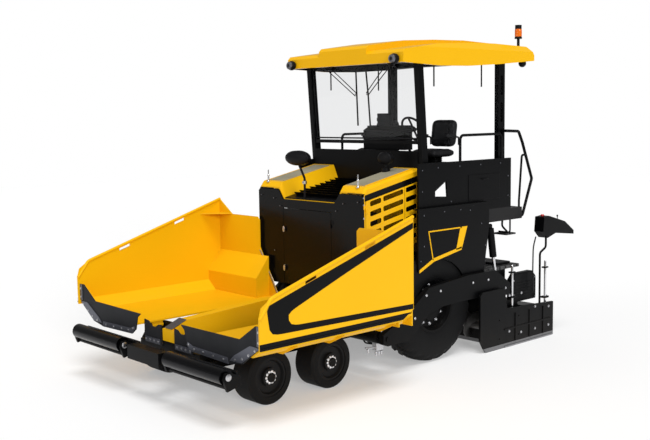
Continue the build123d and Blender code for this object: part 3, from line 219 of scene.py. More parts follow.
# %% Group: rubbed edges
edge_wear, take, give = new_group("edge_wear", [("Reach", "Float", 0.006), ("Amount", "Float", 0.5)],
                                  [("Mask", "Float")])
rounded = node(edge_wear, "Bevel", samples=4)
join(edge_wear, take.outputs["Reach"], rounded.inputs["Radius"])
true_normal = node(edge_wear, "NewGeometry").outputs["True Normal"]
facing = node(edge_wear, "VectorMath", operation="DOT_PRODUCT")
join(edge_wear, rounded.outputs[0], facing.inputs[0])
join(edge_wear, true_normal, facing.inputs[1])
open_edge = calc(edge_wear, "SUBTRACT", 1.0, facing.outputs["Value"])
chips = node(edge_wear, "TexNoise")
join(edge_wear, node(edge_wear, "TexCoord").outputs["Object"], chips.inputs["Vector"])
join(edge_wear, 38.0, chips.inputs["Scale"])
join(edge_wear, 5.0, chips.inputs["Detail"])
rough_edge = calc(edge_wear, "MULTIPLY", open_edge, calc(edge_wear, "MULTIPLY", chips.outputs[0], 9.0))
worn = calc(edge_wear, "MULTIPLY", calc(edge_wear, "SUBTRACT", rough_edge, 0.35, clamp=True), take.outputs["Amount"],
            clamp=True)
join(edge_wear, worn, give.inputs["Mask"])
print("edge_wear:", len(edge_wear.nodes), "nodes")

# %% [markdown]
# Dust settles low down and on faces that look up. The mask takes the height above the ground from the
# Object coordinates, the upward part of the normal, and a noise that makes it patchy.

# %% Group: dust that settles
dust, take, give = new_group("dust", [("Up To", "Float", 0.8), ("Amount", "Float", 0.3)], [("Mask", "Float")])
place = node(dust, "TexCoord").outputs["Object"]
split = node(dust, "SeparateXYZ")
join(dust, place, split.inputs[0])
lowness = calc(dust, "SUBTRACT", 1.0, calc(dust, "DIVIDE", split.outputs["Z"], take.outputs["Up To"]), clamp=True)
upward = node(dust, "SeparateXYZ")
join(dust, node(dust, "NewGeometry").outputs["Normal"], upward.inputs[0])
flat = calc(dust, "MULTIPLY", upward.outputs["Z"], 0.35, clamp=True)
patches = node(dust, "TexNoise")
join(dust, place, patches.inputs["Vector"])
join(dust, 9.0, patches.inputs["Scale"])
join(dust, 6.0, patches.inputs["Detail"])
cover = calc(dust, "MULTIPLY", calc(dust, "ADD", lowness, flat), calc(dust, "MULTIPLY", patches.outputs[0], 1.6))
join(dust, calc(dust, "MULTIPLY", cover, take.outputs["Amount"], clamp=True), give.inputs["Mask"])
print("dust:", len(dust.nodes), "nodes")

# %% [markdown]
# Rubber, cast iron and moulded plastic share a fine grain. `grain` gives a height for a Bump node and a
# value between 0 and 1 for small changes of colour; its scale says how many grains there are in a metre.

# %% Group: fine grain
grain, take, give = new_group("grain", [("Scale", "Float", 200.0), ("Depth", "Float", 0.0005)],
                              [("Value", "Float"), ("Normal", "Vector")])
place = node(grain, "TexCoord").outputs["Object"]
cells = node(grain, "TexVoronoi", feature="SMOOTH_F1")
join(grain, place, cells.inputs["Vector"])
join(grain, take.outputs["Scale"], cells.inputs["Scale"])
clouds = node(grain, "TexNoise")
join(grain, place, clouds.inputs["Vector"])
join(grain, 6.0, clouds.inputs["Scale"])
join(grain, 6.0, clouds.inputs["Detail"])
bump = node(grain, "Bump")
join(grain, cells.outputs["Distance"], bump.inputs["Height"])
join(grain, take.outputs["Depth"], bump.inputs["Distance"])
join(grain, clouds.outputs[0], give.inputs["Value"])
join(grain, bump.outputs[0], give.inputs["Normal"])
print("grain:", len(grain.nodes), "nodes")

# %% [markdown]
# ## Finishes
# `finish` starts a material with its Principled shader and the settings that are the same all over the
# surface. The painted metals then take `paint_skin`, rubbed edges and dust. `where` limits a second colour
# to a region, such as the dark band along the bonnet: it is a function that returns a mask.

# %% Starting a material
YELLOW = (0.82, 0.44, 0.004, 1)
BLACK = (0.0020, 0.0021, 0.0025, 1)
GREY = (0.075, 0.075, 0.08, 1)
DUST = (0.075, 0.066, 0.056, 1)
PRIMER = (0.07, 0.068, 0.066, 1)


def finish(name, colour=(0.5, 0.5, 0.5, 1), roughness=0.5, **settings):
    """A material with only its Principled shader, and that shader."""
    material = bpy.data.materials.new(name)
    material.use_nodes = True
    shader = material.node_tree.nodes["Principled BSDF"]
    shader.inputs["Base Color"].default_value = colour
    shader.inputs["Roughness"].default_value = roughness
    for label, value in settings.items():
        shader.inputs[label.replace("_", " ")].default_value = value
    material.diffuse_color = colour
    return material, material.node_tree, shader


def painted(name, colour, roughness, where=None, second=BLACK, wear=0.35, bare=PRIMER, dusty=0.25, up_to=0.9,
            coat=0.02, drift=0.06, shine=0.08):
    """Sprayed paint, with an optional second colour in a region, rubbed edges and dust."""
    material, tree, shader = finish(name, colour, roughness, Specular_IOR_Level=shine, Coat_Weight=coat, Coat_Roughness=0.12)
    base = colour if where is None else blend_colour(tree, where(tree), colour, second)
    skin = use(tree, paint_skin, Colour=base, Drift=drift, Base_Roughness=roughness)
    worn = use(tree, edge_wear, Amount=wear)["Mask"]
    rubbed = blend_colour(tree, worn, skin["Colour"], bare)
    dirt = use(tree, dust, Up_To=up_to, Amount=dusty)["Mask"]
    join(tree, blend_colour(tree, dirt, rubbed, DUST), shader.inputs["Base Color"])
    join(tree, blend_value(tree, dirt, skin["Roughness"], 0.85), shader.inputs["Roughness"])
    join(tree, skin["Normal"], shader.inputs["Normal"])
    return material


def position(tree):
    """X from the rear axle, Y and Z as separate outputs."""
    split = node(tree, "SeparateXYZ")
    join(tree, node(tree, "TexCoord").outputs["Object"], split.inputs[0])
    return calc(tree, "SUBTRACT", split.outputs["X"], AXLE), split.outputs["Y"], split.outputs["Z"]


def above(tree, value, limit):
    return calc(tree, "GREATER_THAN", value, limit)


def below(tree, value, limit):
    return calc(tree, "LESS_THAN", value, limit)


def both(tree, *masks):
    """1 where all the masks are 1."""
    result = masks[0]
    for mask in masks[1:]:
        result = calc(tree, "MULTIPLY", result, mask)
    return result


print("finish, painted and position masks ready")

# %% [markdown]
# ## Helpers for surfaces
# Every new piece is a grid of points worked out with numpy. `grid_mesh` turns an array of rows and columns
# into quads; it can close the grid round either way and fill the two ends. `add_piece` makes the object,
# gives it a finish, smooths what is round, and says which body it rides on.

# %% Grids of points into meshes
def grid_faces(rows, columns, round_rows=False, round_columns=False):
    """Quads over a grid: each joins a point to its neighbours in the next row and the next column."""
    i, j = np.meshgrid(np.arange(rows if round_rows else rows - 1),
                       np.arange(columns if round_columns else columns - 1), indexing="ij")
    i, j = i.ravel(), j.ravel()
    k, m = (i + 1) % rows, (j + 1) % columns
    return np.stack([i * columns + j, k * columns + j, k * columns + m, i * columns + m], axis=1)


def grid_mesh(points, round_rows=False, round_columns=False, capped=False):
    """Points of shape (rows, columns, 3) into (points, faces); capped closes the first and last row with fans."""
    rows, columns = points.shape[:2]
    flat = points.reshape(-1, 3)
    faces = [list(face) for face in grid_faces(rows, columns, round_rows, round_columns)]
    if capped:
        first, last = points[0].mean(axis=0), points[-1].mean(axis=0)
        flat = np.vstack([flat, first, last])
        tip, tail, base = rows * columns, rows * columns + 1, (rows - 1) * columns
        for j in range(columns):
            m = (j + 1) % columns
            faces.append([tip, j, m])
            faces.append([tail, base + m, base + j])
    return flat, faces


def together(*meshes):
    """Several (points, faces) as one."""
    points, faces, offset = [], [], 0
    for some_points, some_faces in meshes:
        points.append(np.asarray(some_points, dtype=float))
        faces.extend([[int(corner) + offset for corner in face] for face in some_faces])
        offset += len(some_points)
    return np.vstack(points), faces


def mirror_y(mesh):
    """The same mesh on the machine's other side, its faces turned round so that they still point outwards."""
    points, faces = mesh
    return np.asarray(points) * (1, -1, 1), [list(face)[::-1] for face in faces]


def add_piece(name, mesh, material, body, smooth=30, bevel=0):
    """Makes the object, finishes it and puts it on its body. smooth is the sharpest angle that is still smooth."""
    points, faces = mesh
    data = bpy.data.meshes.new(name)
    data.from_pydata(np.asarray(points, dtype=float).tolist(), [], [list(map(int, face)) for face in faces])
    data.validate()
    piece = bpy.data.objects.new(name, data)
    scene.collection.objects.link(piece)
    turn_outwards(data)
    data.materials.append(material)
    if bevel:
        cut = piece.modifiers.new("rounded", "BEVEL")
        cut.width, cut.segments, cut.limit_method, cut.angle_limit = bevel, 2, "ANGLE", 0.7
    if smooth:
        data.polygons.foreach_set("use_smooth", np.ones(len(data.polygons), dtype=bool))
        sharp_edges(data, np.radians(smooth))
    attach(piece, body)
    return piece


print("grid helpers ready")

# %% [markdown]
# Faces must point outwards, or a material's edges and gloss go wrong. Blender's bmesh can recalculate them
# for a closed mesh. `sharp_edges` then marks the edges that turn by more than an angle, so that a round rod
# looks round and its ends stay crisp.

# %% Normals and sharp edges
import bmesh


def turn_outwards(data):
    work = bmesh.new()
    work.from_mesh(data)
    bmesh.ops.remove_doubles(work, verts=work.verts, dist=1e-6)
    bmesh.ops.recalc_face_normals(work, faces=work.faces)
    work.to_mesh(data)
    work.free()


def sharp_edges(data, angle):
    work = bmesh.new()
    work.from_mesh(data)
    for line in work.edges:
        line.smooth = bool(len(line.link_faces) == 2 and line.calc_face_angle(0) < angle)
    work.to_mesh(data)
    work.free()


print("normals and sharp edges ready")

# %% [markdown]
# ## Four shapes that most pieces need
# `slab` is a flat outline given a thickness, `tube` a circle carried along a path, `turned` a profile spun
# round an axis, and `box` a block. `slab` and `tube` need directions that stand square to each other: the
# frame along a path comes from the path's own tangent and one steady side vector.

# %% Block, slab, tube and turned shapes
def box(x0, x1, y0, y1, z0, z1):
    """A block between six planes, x measured from the rear axle: eight corners on a 2 by 4 grid, capped."""
    ring = np.array([(y0, z0), (y1, z0), (y1, z1), (y0, z1)])
    points = np.array([[at(x, y, z) for y, z in ring] for x in (x0, x1)])
    return grid_mesh(points, round_columns=True, capped=True)


def slab(outline, low, high, plane="xz"):
    """A closed outline pushed from low to high along the third axis: rows are the two faces, columns go round."""
    outline = np.asarray(outline, dtype=float)
    a, b = outline[:, 0], outline[:, 1]
    rows = []
    for depth in (low, high):
        c = np.full_like(a, depth)
        if plane == "xz":
            rows.append(np.stack([a + AXLE, c, b], axis=1))
        elif plane == "yz":
            rows.append(np.stack([c + AXLE, a, b], axis=1))
        else:
            rows.append(np.stack([a + AXLE, b, c], axis=1))
    count = len(outline)
    flat = np.vstack(rows)
    faces = [list(face) for face in grid_faces(2, count, round_columns=True)]
    return flat, faces + [list(range(count)), list(range(count, 2 * count))]


def along_path(path):
    """Tangents and two square directions at each point of a path of shape (n, 3)."""
    path = np.asarray(path, dtype=float)
    tangent = np.gradient(path, axis=0)
    tangent /= np.linalg.norm(tangent, axis=1, keepdims=True)
    steady = np.array([0.0, 1.0, 0.0]) if np.abs(tangent[:, 1]).max() < 0.9 else np.array([0.31, 0.17, 0.93])
    side = np.cross(tangent, steady)
    side /= np.linalg.norm(side, axis=1, keepdims=True)
    return tangent, side, np.cross(side, tangent)


def tube(path, radius, sides=12):
    """A circle carried along a path: point(i, a) = path(i) + radius * (cos a * side + sin a * up)."""
    path = np.array([at(*p) for p in path])
    _, side, up = along_path(path)
    angle = np.linspace(0, 2 * np.pi, sides, endpoint=False)
    radius = np.broadcast_to(np.asarray(radius, dtype=float), (len(path),))[:, None, None]
    ring = np.cos(angle)[None, :, None] * side[:, None, :] + np.sin(angle)[None, :, None] * up[:, None, :]
    return grid_mesh(path[:, None, :] + radius * ring, round_columns=True, capped=True)


def rounded_path(corners, bend, steps=6):
    """Straight runs joined by curves: each corner is replaced by a quadratic arc that starts bend before it."""
    corners = np.asarray(corners, dtype=float)
    path = [corners[0]]
    for before, corner, after in zip(corners[:-2], corners[1:-1], corners[2:]):
        start = corner + (before - corner) * min(0.5, bend / np.linalg.norm(before - corner))
        end = corner + (after - corner) * min(0.5, bend / np.linalg.norm(after - corner))
        t = np.linspace(0, 1, steps)[:, None]
        path.extend((1 - t) ** 2 * start + 2 * t * (1 - t) * corner + t ** 2 * end)
    path.append(corners[-1])
    return np.array(path)


def turned(profile, middle, axis="y", sides=48):
    """A profile of (radius, depth) spun round an axis through middle: point = middle + depth along it + radius round it."""
    profile = np.asarray(profile, dtype=float)
    angle = np.linspace(0, 2 * np.pi, sides, endpoint=False)
    r, d = profile[:, 0][:, None], profile[:, 1][:, None]
    ring = {"y": (r * np.cos(angle), d + 0 * angle, r * np.sin(angle)),
            "x": (d + 0 * angle, r * np.cos(angle), r * np.sin(angle)),
            "z": (r * np.cos(angle), r * np.sin(angle), d + 0 * angle)}[axis]
    points = np.stack(ring, axis=2) + np.array(at(*middle))
    return grid_mesh(points, round_columns=True, capped=True)


print("block, slab, tube and turned shapes ready")

# %% [markdown]
# Nuts and bolt heads come by the dozen, so one function makes a whole set: a low six-sided head on a thin
# washer, at every place given, pointing along one axis. Each has only a few dozen faces.

# %% Sets of bolt heads
def bolts(places, radius=0.012, high=0.009, axis="y", sign=1, sides=6):
    """Heads at places (x from the axle, y, z): a washer and a bevelled head, turned about the axis."""
    profile = [(radius * 1.35, 0), (radius * 1.35, high * 0.25), (radius, high * 0.25), (radius, high * 0.85),
               (radius * 0.8, high)]
    return together(*[turned([(r, d * sign) for r, d in profile], place, axis, sides) for place in places])


def ring_places(middle, radius, count, start=0.0):
    """Places round a circle that stands square to the axle."""
    angle = start + np.arange(count) * 2 * np.pi / count
    return [(middle[0] + radius * np.cos(a), middle[1], middle[2] + radius * np.sin(a)) for a in angle]


print("bolt sets ready")

# %% [markdown]
# ## Finishes for this machine
# Yellow sprayed paint covers the hopper, the bonnet and the canopy; nearly everything else is satin black.
# Steel that is rubbed bright, dark cast iron, chromed rods, rubber and moulded plastic complete the list.

# %% Metals
def metal(name, colour, roughness, depth=0.0004, scale=60.0, dusty=0.2, streaks=0.12):
    """Bare metal: brushed streaks in the roughness, faint stains and dust low down."""
    material, tree, shader = finish(name, colour, roughness, Metallic=1.0)
    place = node(tree, "TexCoord").outputs["Object"]
    stretch = node(tree, "Mapping")
    join(tree, place, stretch.inputs["Vector"])
    stretch.inputs["Scale"].default_value = (1.0, 14.0, 14.0)
    brushed = node(tree, "TexNoise")
    join(tree, stretch.outputs[0], brushed.inputs["Vector"])
    join(tree, scale, brushed.inputs["Scale"])
    stains = use(tree, grain, Scale=scale * 4, Depth=depth)
    tinted = blend_colour(tree, calc(tree, "MULTIPLY", stains["Value"], 0.5), colour,
                          tuple(0.45 * c for c in colour[:3]) + (1,))
    dirt = use(tree, dust, Up_To=0.8, Amount=dusty)["Mask"]
    join(tree, blend_colour(tree, dirt, tinted, DUST), shader.inputs["Base Color"])
    join(tree, calc(tree, "ADD", roughness - streaks / 2, calc(tree, "MULTIPLY", brushed.outputs[0], streaks)),
         shader.inputs["Roughness"])
    join(tree, stains["Normal"], shader.inputs["Normal"])
    return material


steel = metal("rubbed_steel", (0.42, 0.42, 0.44, 1), 0.34)
clamp_steel = metal("clamp_strip_steel", (0.20, 0.205, 0.23, 1), 0.45)
zinc = metal("zinc_plated_bolts", (0.60, 0.60, 0.62, 1), 0.28, dusty=0.05)
chrome = metal("chromed_rod", (0.80, 0.80, 0.82, 1), 0.12, depth=0.00005, dusty=0.0, streaks=0.05)
cast_iron = metal("dark_cast_iron", (0.06, 0.06, 0.062, 1), 0.55, depth=0.0012, scale=30.0)
print("steel, zinc, chrome and cast iron")

# %% [markdown]
# Rubber is nearly black, matt and slightly mottled, with a pale bloom of dust low down. Moulded plastic has
# the same grain but finer and a little glossier. Both use the `grain` group.

# %% Rubber and plastic
def moulded(name, colour, roughness, scale, depth, dusty, up_to=0.7, mottle=0.6):
    """Rubber or plastic: fine grain, mottled colour and dust."""
    material, tree, shader = finish(name, colour, roughness, Specular_IOR_Level=0.1)
    surface = use(tree, grain, Scale=scale, Depth=depth)
    pale = tuple(min(1.0, c * (1 + mottle)) for c in colour[:3]) + (1,)
    mottled = blend_colour(tree, surface["Value"], colour, pale)
    dirt = use(tree, dust, Up_To=up_to, Amount=dusty)["Mask"]
    join(tree, blend_colour(tree, dirt, mottled, DUST), shader.inputs["Base Color"])
    join(tree, calc(tree, "ADD", roughness - 0.05, calc(tree, "MULTIPLY", surface["Value"], 0.1)),
         shader.inputs["Roughness"])
    join(tree, surface["Normal"], shader.inputs["Normal"])
    return material


tyre_rubber = moulded("tyre_rubber", (0.0048, 0.0049, 0.0052, 1), 0.62, 130.0, 0.0006, 0.05, up_to=0.5)
apron_rubber = moulded("apron_rubber", (0.008, 0.0084, 0.0096, 1), 0.5, 90.0, 0.0005, 0.06)
plastic = moulded("black_plastic", (0.004, 0.004, 0.0046, 1), 0.4, 500.0, 0.0002, 0.05)
dark_frame = painted("black_frame_paint", BLACK, 0.42, wear=0.12, dusty=0.10, up_to=0.7)
cab_black = painted("black_platform_paint", BLACK, 0.36, wear=0.10, dusty=0.03)
grey_paint = painted("grey_walkway_paint", GREY, 0.5, wear=0.5, dusty=0.15)
print("rubber, plastic and black paint")

# %% [markdown]
# ## Rear tyres
# A paver's drive tyres are wide and low in pressure, with blocks that run from the shoulder to the middle.
# The tyre is one surface of two parameters: the profile from bead to bead, and the angle round the axle.
# The blocks are a change of radius: a smooth square wave over the angle, slanted across the tread.

# %% Rear tyre surface
TYRE_R = edge("rear_tyre_left", 2, 1) / 2
TYRE_HALF = (edge("rear_tyre_left", 1, 1) - edge("rear_tyre_left", 1, 0)) / 2
TYRE_Y = (edge("rear_tyre_left", 1, 1) + edge("rear_tyre_left", 1, 0)) / 2


def tyre_surface(middle_y, half=TYRE_HALF, outer=TYRE_R, rim=0.332, groove=0.022, blocks=26, across=44, around=312):
    """radius(s, a) = profile(s) - groove * g(s, a), where g is 1 in a groove and 0 on a block.

    s runs from bead to bead and a round the axle; g = smooth step of cos(blocks * a + slant * |depth|) on the
    tread, and two fine rings stand on each side wall.
    """
    knots = np.array([(rim, -0.86), (rim + 0.03, -0.93), (0.44, -1.0), (0.53, -1.0), (0.60, -0.95), (0.645, -0.87),
                      (0.672, -0.70), (0.681, -0.4), (outer, 0.0)])
    knots = np.vstack([knots, knots[:-1][::-1] * (1, -1)])
    s = np.linspace(0, len(knots) - 1, across)
    r, depth = np.interp(s, range(len(knots)), knots[:, 0]), np.interp(s, range(len(knots)), knots[:, 1]) * half
    angle = np.linspace(0, 2 * np.pi, around, endpoint=False)
    d, a = np.meshgrid(depth, angle, indexing="ij")
    wave = np.cos(blocks * (a + np.where(d > 0, np.pi / blocks, 0)) + 55.0 * np.abs(d))
    g = np.clip((wave - 0.1) * 4 + 0.5, 0, 1) * np.clip((np.abs(d) - 0.018) / 0.012, 0, 1)
    g *= np.clip((r[:, None] - 0.61) / 0.02, 0, 1)
    radius = r[:, None] - groove * g
    radius += 0.003 * (np.abs(r[:, None] - 0.47) < 0.012)
    points = np.stack([radius * np.cos(a), middle_y + d, radius * np.sin(a)], axis=2)
    return grid_mesh(points + np.array(at(0, 0, AXLE_HEIGHT)), round_columns=True)


for side, sign in (("left", 1), ("right", -1)):
    points, faces = tyre_surface(sign * TYRE_Y)
    band = turned([(0.333, sign * TYRE_Y - 0.148), (0.333, sign * TYRE_Y + 0.148)], (0, 0, AXLE_HEIGHT), sides=312)
    inner_points, inner_faces = band[0][:-2], [face for face in band[1] if len(face) == 4]
    tyre = add_piece(f"rear_tyre_tread_{side}", together((points, faces), (inner_points, inner_faces)), tyre_rubber,
                     f"rear_wheel_{side}", smooth=35)
    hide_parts(f"rear_tyre_{side}")
print("rear tyres:", len(points), "points each")

# %% [markdown]
# ## Wheel nuts and hubs
# The steered wheels stand out by their rings of bright nuts round a dark hub. Each ring is ten heads on a
# circle; the larger drive wheels carry twelve on the rim's middle disc.

# %% Wheel nuts
FRONT_R = edge("front_wheel_1_left", 2, 1) / 2
for number in (1, 2):
    for side, sign in (("left", 1), ("right", -1)):
        name = f"front_wheel_{number}_{side}"
        x = (edge(name, 0, 0) + edge(name, 0, 1)) / 2
        face = (edge(name, 1, 1) if sign > 0 else edge(name, 1, 0)) - sign * 0.0405
        nuts = bolts(ring_places((x, face, FRONT_R), 0.078, 10, 0.2), radius=0.0155, high=0.022, sign=sign)
        add_piece(f"wheel_nuts_{number}_{side}", nuts, zinc, name)
        cap = turned([(0.05, 0), (0.05, sign * 0.022), (0.04, sign * 0.03), (0.0, sign * 0.031)],
                     (x, face + sign * 0.0345, FRONT_R), sides=32)
        add_piece(f"hub_cap_{number}_{side}", cap, dark_frame, name)
for side, sign in (("left", 1), ("right", -1)):
    face = sign * (TYRE_Y + 0.061)
    nuts = bolts(ring_places((0, face, AXLE_HEIGHT), 0.235, 12), radius=0.017, high=0.02, sign=sign)
    add_piece(f"drive_wheel_nuts_{side}", nuts, zinc, f"rear_wheel_{side}")
print("front wheel radius", round(FRONT_R, 3))

# %% [markdown]
# A front wheel is one solid: solid rubber pressed on a steel hub. Its finish tells the two apart by the
# distance from the wheel's own axle: a Mapping node brings that axle to zero, and two Math nodes measure
# the radius.

# %% Finish of the front wheels
bright_nut = metal("bright_wheel_nuts", (0.92, 0.92, 0.94, 1), 0.45, dusty=0.0, streaks=0.05)


def front_wheel_finish(name, x):
    """Rubber outside the hub's radius and satin black paint inside it."""
    material, tree, shader = finish(name, BLACK, 0.5, Specular_IOR_Level=0.1)
    centre = node(tree, "Mapping")
    join(tree, node(tree, "TexCoord").outputs["Object"], centre.inputs["Vector"])
    centre.inputs["Location"].default_value = (-x - AXLE, 0, -FRONT_R)
    split = node(tree, "SeparateXYZ")
    join(tree, centre.outputs[0], split.inputs[0])
    square = calc(tree, "ADD", calc(tree, "POWER", split.outputs["X"], 2.0), calc(tree, "POWER", split.outputs["Z"], 2.0))
    rubber = above(tree, calc(tree, "SQRT", square), 0.2045)
    surface = use(tree, grain, Scale=130.0, Depth=0.0006)
    colour = blend_colour(tree, rubber, (0.007, 0.007, 0.0075, 1), (0.0045, 0.0045, 0.0048, 1))
    colour = blend_colour(tree, calc(tree, "MULTIPLY", surface["Value"], 0.4), colour, (0.011, 0.011, 0.011, 1))
    dirt = use(tree, dust, Up_To=0.5, Amount=0.05)["Mask"]
    join(tree, blend_colour(tree, dirt, colour, DUST), shader.inputs["Base Color"])
    join(tree, blend_value(tree, rubber, 0.4, 0.66), shader.inputs["Roughness"])
    join(tree, surface["Normal"], shader.inputs["Normal"])
    return material


def dress(material, *names):
    """Gives a ready-made solid its finish."""
    for name in names:
        data = nodes[name].data
        data.materials.clear()
        data.materials.append(material)


for number in (1, 2):
    for side, sign in (("left", 1), ("right", -1)):
        name = f"front_wheel_{number}_{side}"
        middle_x = (edge(name, 0, 0) + edge(name, 0, 1)) / 2
        dress(front_wheel_finish(name + "_finish", middle_x), name)
        hub_y = edge("front_wheel_1_left", 1, 1) - 0.005
        places = ring_places((middle_x, sign * hub_y, FRONT_R), 0.055, 10)
        add_piece(f"hub_nuts_{number}_{side}", bolts(places, radius=0.0140, high=0.012, axis="y", sign=sign), bright_nut,
                  name)
        boss = turned([(r, d * sign) for r, d in ((0.0, 0.0), (0.036, 0.0), (0.036, 0.006), (0.030, 0.012), (0.026, 0.020),
                                                   (0.0, 0.022))], (middle_x, sign * hub_y, FRONT_R), sides=32)
        add_piece(f"hub_boss_{number}_{side}", boss, dark_frame, name)
dress(dark_frame, "rear_rim_left", "rear_rim_right", "chassis", "axle_carriers", "bogies", "knuckle_1_left",
      "knuckle_1_right", "knuckle_2_left", "knuckle_2_right", "push_beam", "tow_arms", "lift_barrels",
      "wing_barrel_left", "wing_barrel_right")
dress(chrome, "wing_rod_left", "wing_rod_right", "lift_rods")
dress(cast_iron, "engine_block")
print("running gear dressed")

# %% [markdown]
# ## Hopper
# The two wings are folded plate with a rolled rim. Outside, the shade along the foot of each wall, under its
# lip, is painted in as a black band. The band and all other two-colour panels are masks in the paint, because
# the plate under them is flat.

# %% Hopper paint
WING_OUT = edge("wing_left", 1, 1) - 0.010
FLOOR_TOP = 0.720


def foot_shade_band(tree):
    """Painted shade: a black band along the foot of the outer walls, under the lip that shades them."""
    x, y, z = position(tree)
    return both(tree, above(tree, calc(tree, "ABSOLUTE", y), WING_OUT - 0.004), above(tree, z, 0.797), below(tree, z, 0.862))


# The black second colour along the wall foot is painted shade.
hopper_yellow = painted("hopper_yellow_paint", YELLOW, 0.3, where=foot_shade_band, wear=0.18, dusty=0.06, up_to=0.9, drift=0.07,
                        shine=0.1)
dress(hopper_yellow, "wing_left", "wing_right")


def deck_dark(tree):
    """Everything in the conveyor deck but the ridge between the lanes."""
    x, y, z = position(tree)
    return below(tree, z, 0.585)


dress(painted("ridge_yellow_paint", YELLOW, 0.33, where=deck_dark, wear=0.4, dusty=0.1), "conveyor_deck")
print("wing wall at", round(WING_OUT, 3), "m from the middle")

# %% [markdown]
# A broad black stripe folds into an arrow on each wall: an upper and a lower arm that meet in a rounded
# nose. It is a thin film: one grid with two columns, the arrow's outer edge and its inner edge, carried
# from the upper rear end round the nose to the lower rear end.

# %% Arrow stripe on the wing walls
def smooth_line(corners, bend):
    """A polyline in the wall's plane with rounded corners, and the length along it at each point."""
    path = rounded_path([(x, 0.0, z) for x, z in corners], bend)
    length = np.concatenate([[0], np.cumsum(np.linalg.norm(np.diff(path, axis=0), axis=1))])
    return path, length


def stripe_between(outer, inner, low, high, count=72):
    """A film between two lines: corresponding corners share a share of the way, so both are walked together."""
    rows = []
    for corners, bend in ((outer, 0.05), (inner, 0.06)):
        path, length = smooth_line(corners, bend)
        share = np.linspace(0, 1, count) * length[-1]
        rows.append(np.stack([np.interp(share, length, path[:, i]) for i in (0, 2)], axis=1))
    ring = np.vstack([rows[0], rows[1][::-1]])
    outer_xz, inner_xz = rows
    front = np.stack([outer_xz[:, 0] + AXLE, np.full(count, high), outer_xz[:, 1]], axis=1)
    front_in = np.stack([inner_xz[:, 0] + AXLE, np.full(count, high), inner_xz[:, 1]], axis=1)
    back, back_in = front - (0, high - low, 0), front_in - (0, high - low, 0)
    points = np.stack([front, front_in, back_in, back], axis=1)
    flat, faces = grid_mesh(points, round_columns=True)
    last = 4 * (count - 1)
    return flat, faces + [[0, 1, 2, 3], [last, last + 3, last + 2, last + 1]]


REAR = edge("wing_left", 0, 0) + 0.012
arrow_out = [(REAR, 1.82), (2.30, 1.447), (3.093, 1.205), (3.072, 1.06), (3.055, 0.945), (2.965, 0.925), (REAR, 0.892)]
arrow_in = [(REAR, 1.758), (2.10, 1.388), (2.74, 1.146), (2.84, 1.10), (2.81, 0.998), (2.72, 0.982), (REAR, 0.946)]
film_black = painted("stripe_film", BLACK, 0.3, wear=0.0, dusty=0.02, coat=0.06)
for side, sign in (("left", 1), ("right", -1)):
    mesh = stripe_between(arrow_out, arrow_in, WING_OUT - 0.001, WING_OUT + 0.0012)
    add_piece(f"arrow_stripe_{side}", mesh if sign > 0 else mirror_y(mesh), film_black, f"wing_{side}",
              smooth=0)
print("arrow stripes")

# %% [markdown]
# The front of each wing carries a rubber apron that keeps the mix from spilling, held by steel strips with
# bolt heads. In the solids, apron and strips are one node, so one finish tells them apart by how far
# forward they stand, and the heads are new pieces on top.

# %% Aprons and their clamp strips
def apron_finish(name, front):
    """Rubber behind the plane at front, steel strips before it."""
    material, tree, shader = finish(name, (0.012, 0.0125, 0.014, 1), 0.5, Specular_IOR_Level=0.12)
    x, y, z = position(tree)
    strip = above(tree, x, front)
    surface = use(tree, grain, Scale=90.0, Depth=0.0005)
    rubber = blend_colour(tree, surface["Value"], (0.010, 0.0105, 0.012, 1), (0.019, 0.020, 0.023, 1))
    colour = blend_colour(tree, strip, rubber, (0.13, 0.135, 0.16, 1))
    dirt = use(tree, dust, Up_To=0.9, Amount=0.07)["Mask"]
    join(tree, blend_colour(tree, dirt, colour, DUST), shader.inputs["Base Color"])
    join(tree, blend_value(tree, strip, 0.52, 0.4), shader.inputs["Roughness"])
    join(tree, calc(tree, "MULTIPLY", strip, 0.75), shader.inputs["Metallic"])
    join(tree, surface["Normal"], shader.inputs["Normal"])
    return material


strip_face = edge("wing_flap_left", 0, 1)
dress(apron_finish("wing_apron", strip_face - 0.006), "wing_flap_left", "wing_flap_right")
heads = [(1.675, 0.87), (1.675, 0.97), (1.62, 0.785), (1.52, 0.725), (1.42, 0.672), (1.31, 0.645), (1.12, 0.618),
         (0.95, 0.622), (0.78, 0.628), (0.63, 0.632), (0.535, 0.665)]
for side, sign in (("left", 1), ("right", -1)):
    places = [(strip_face, sign * y, z) for y, z in heads]
    add_piece(f"apron_bolts_{side}", bolts(places, radius=0.011, high=0.008, axis="x"), zinc, f"wing_{side}")
centre_face = edge("centre_flap", 0, 1)
dress(apron_finish("centre_apron", centre_face - 0.006), "centre_flap")
places = [(centre_face, sign * y, 0.56) for sign in (1, -1) for y in (0.18, 0.26, 0.34, 0.42)]
add_piece("centre_apron_bolts", bolts(places, radius=0.011, high=0.008, axis="x"), zinc, "machine")
print(len(heads), "bolt heads on each wing apron")

# %% [markdown]
# Where the mix slides over an edge the paint would not last, so a bare steel wear cap sits on the nose of
# the middle ridge, and a bright strip guards the inner edge of each wing's rear wall. Slabs do for both.

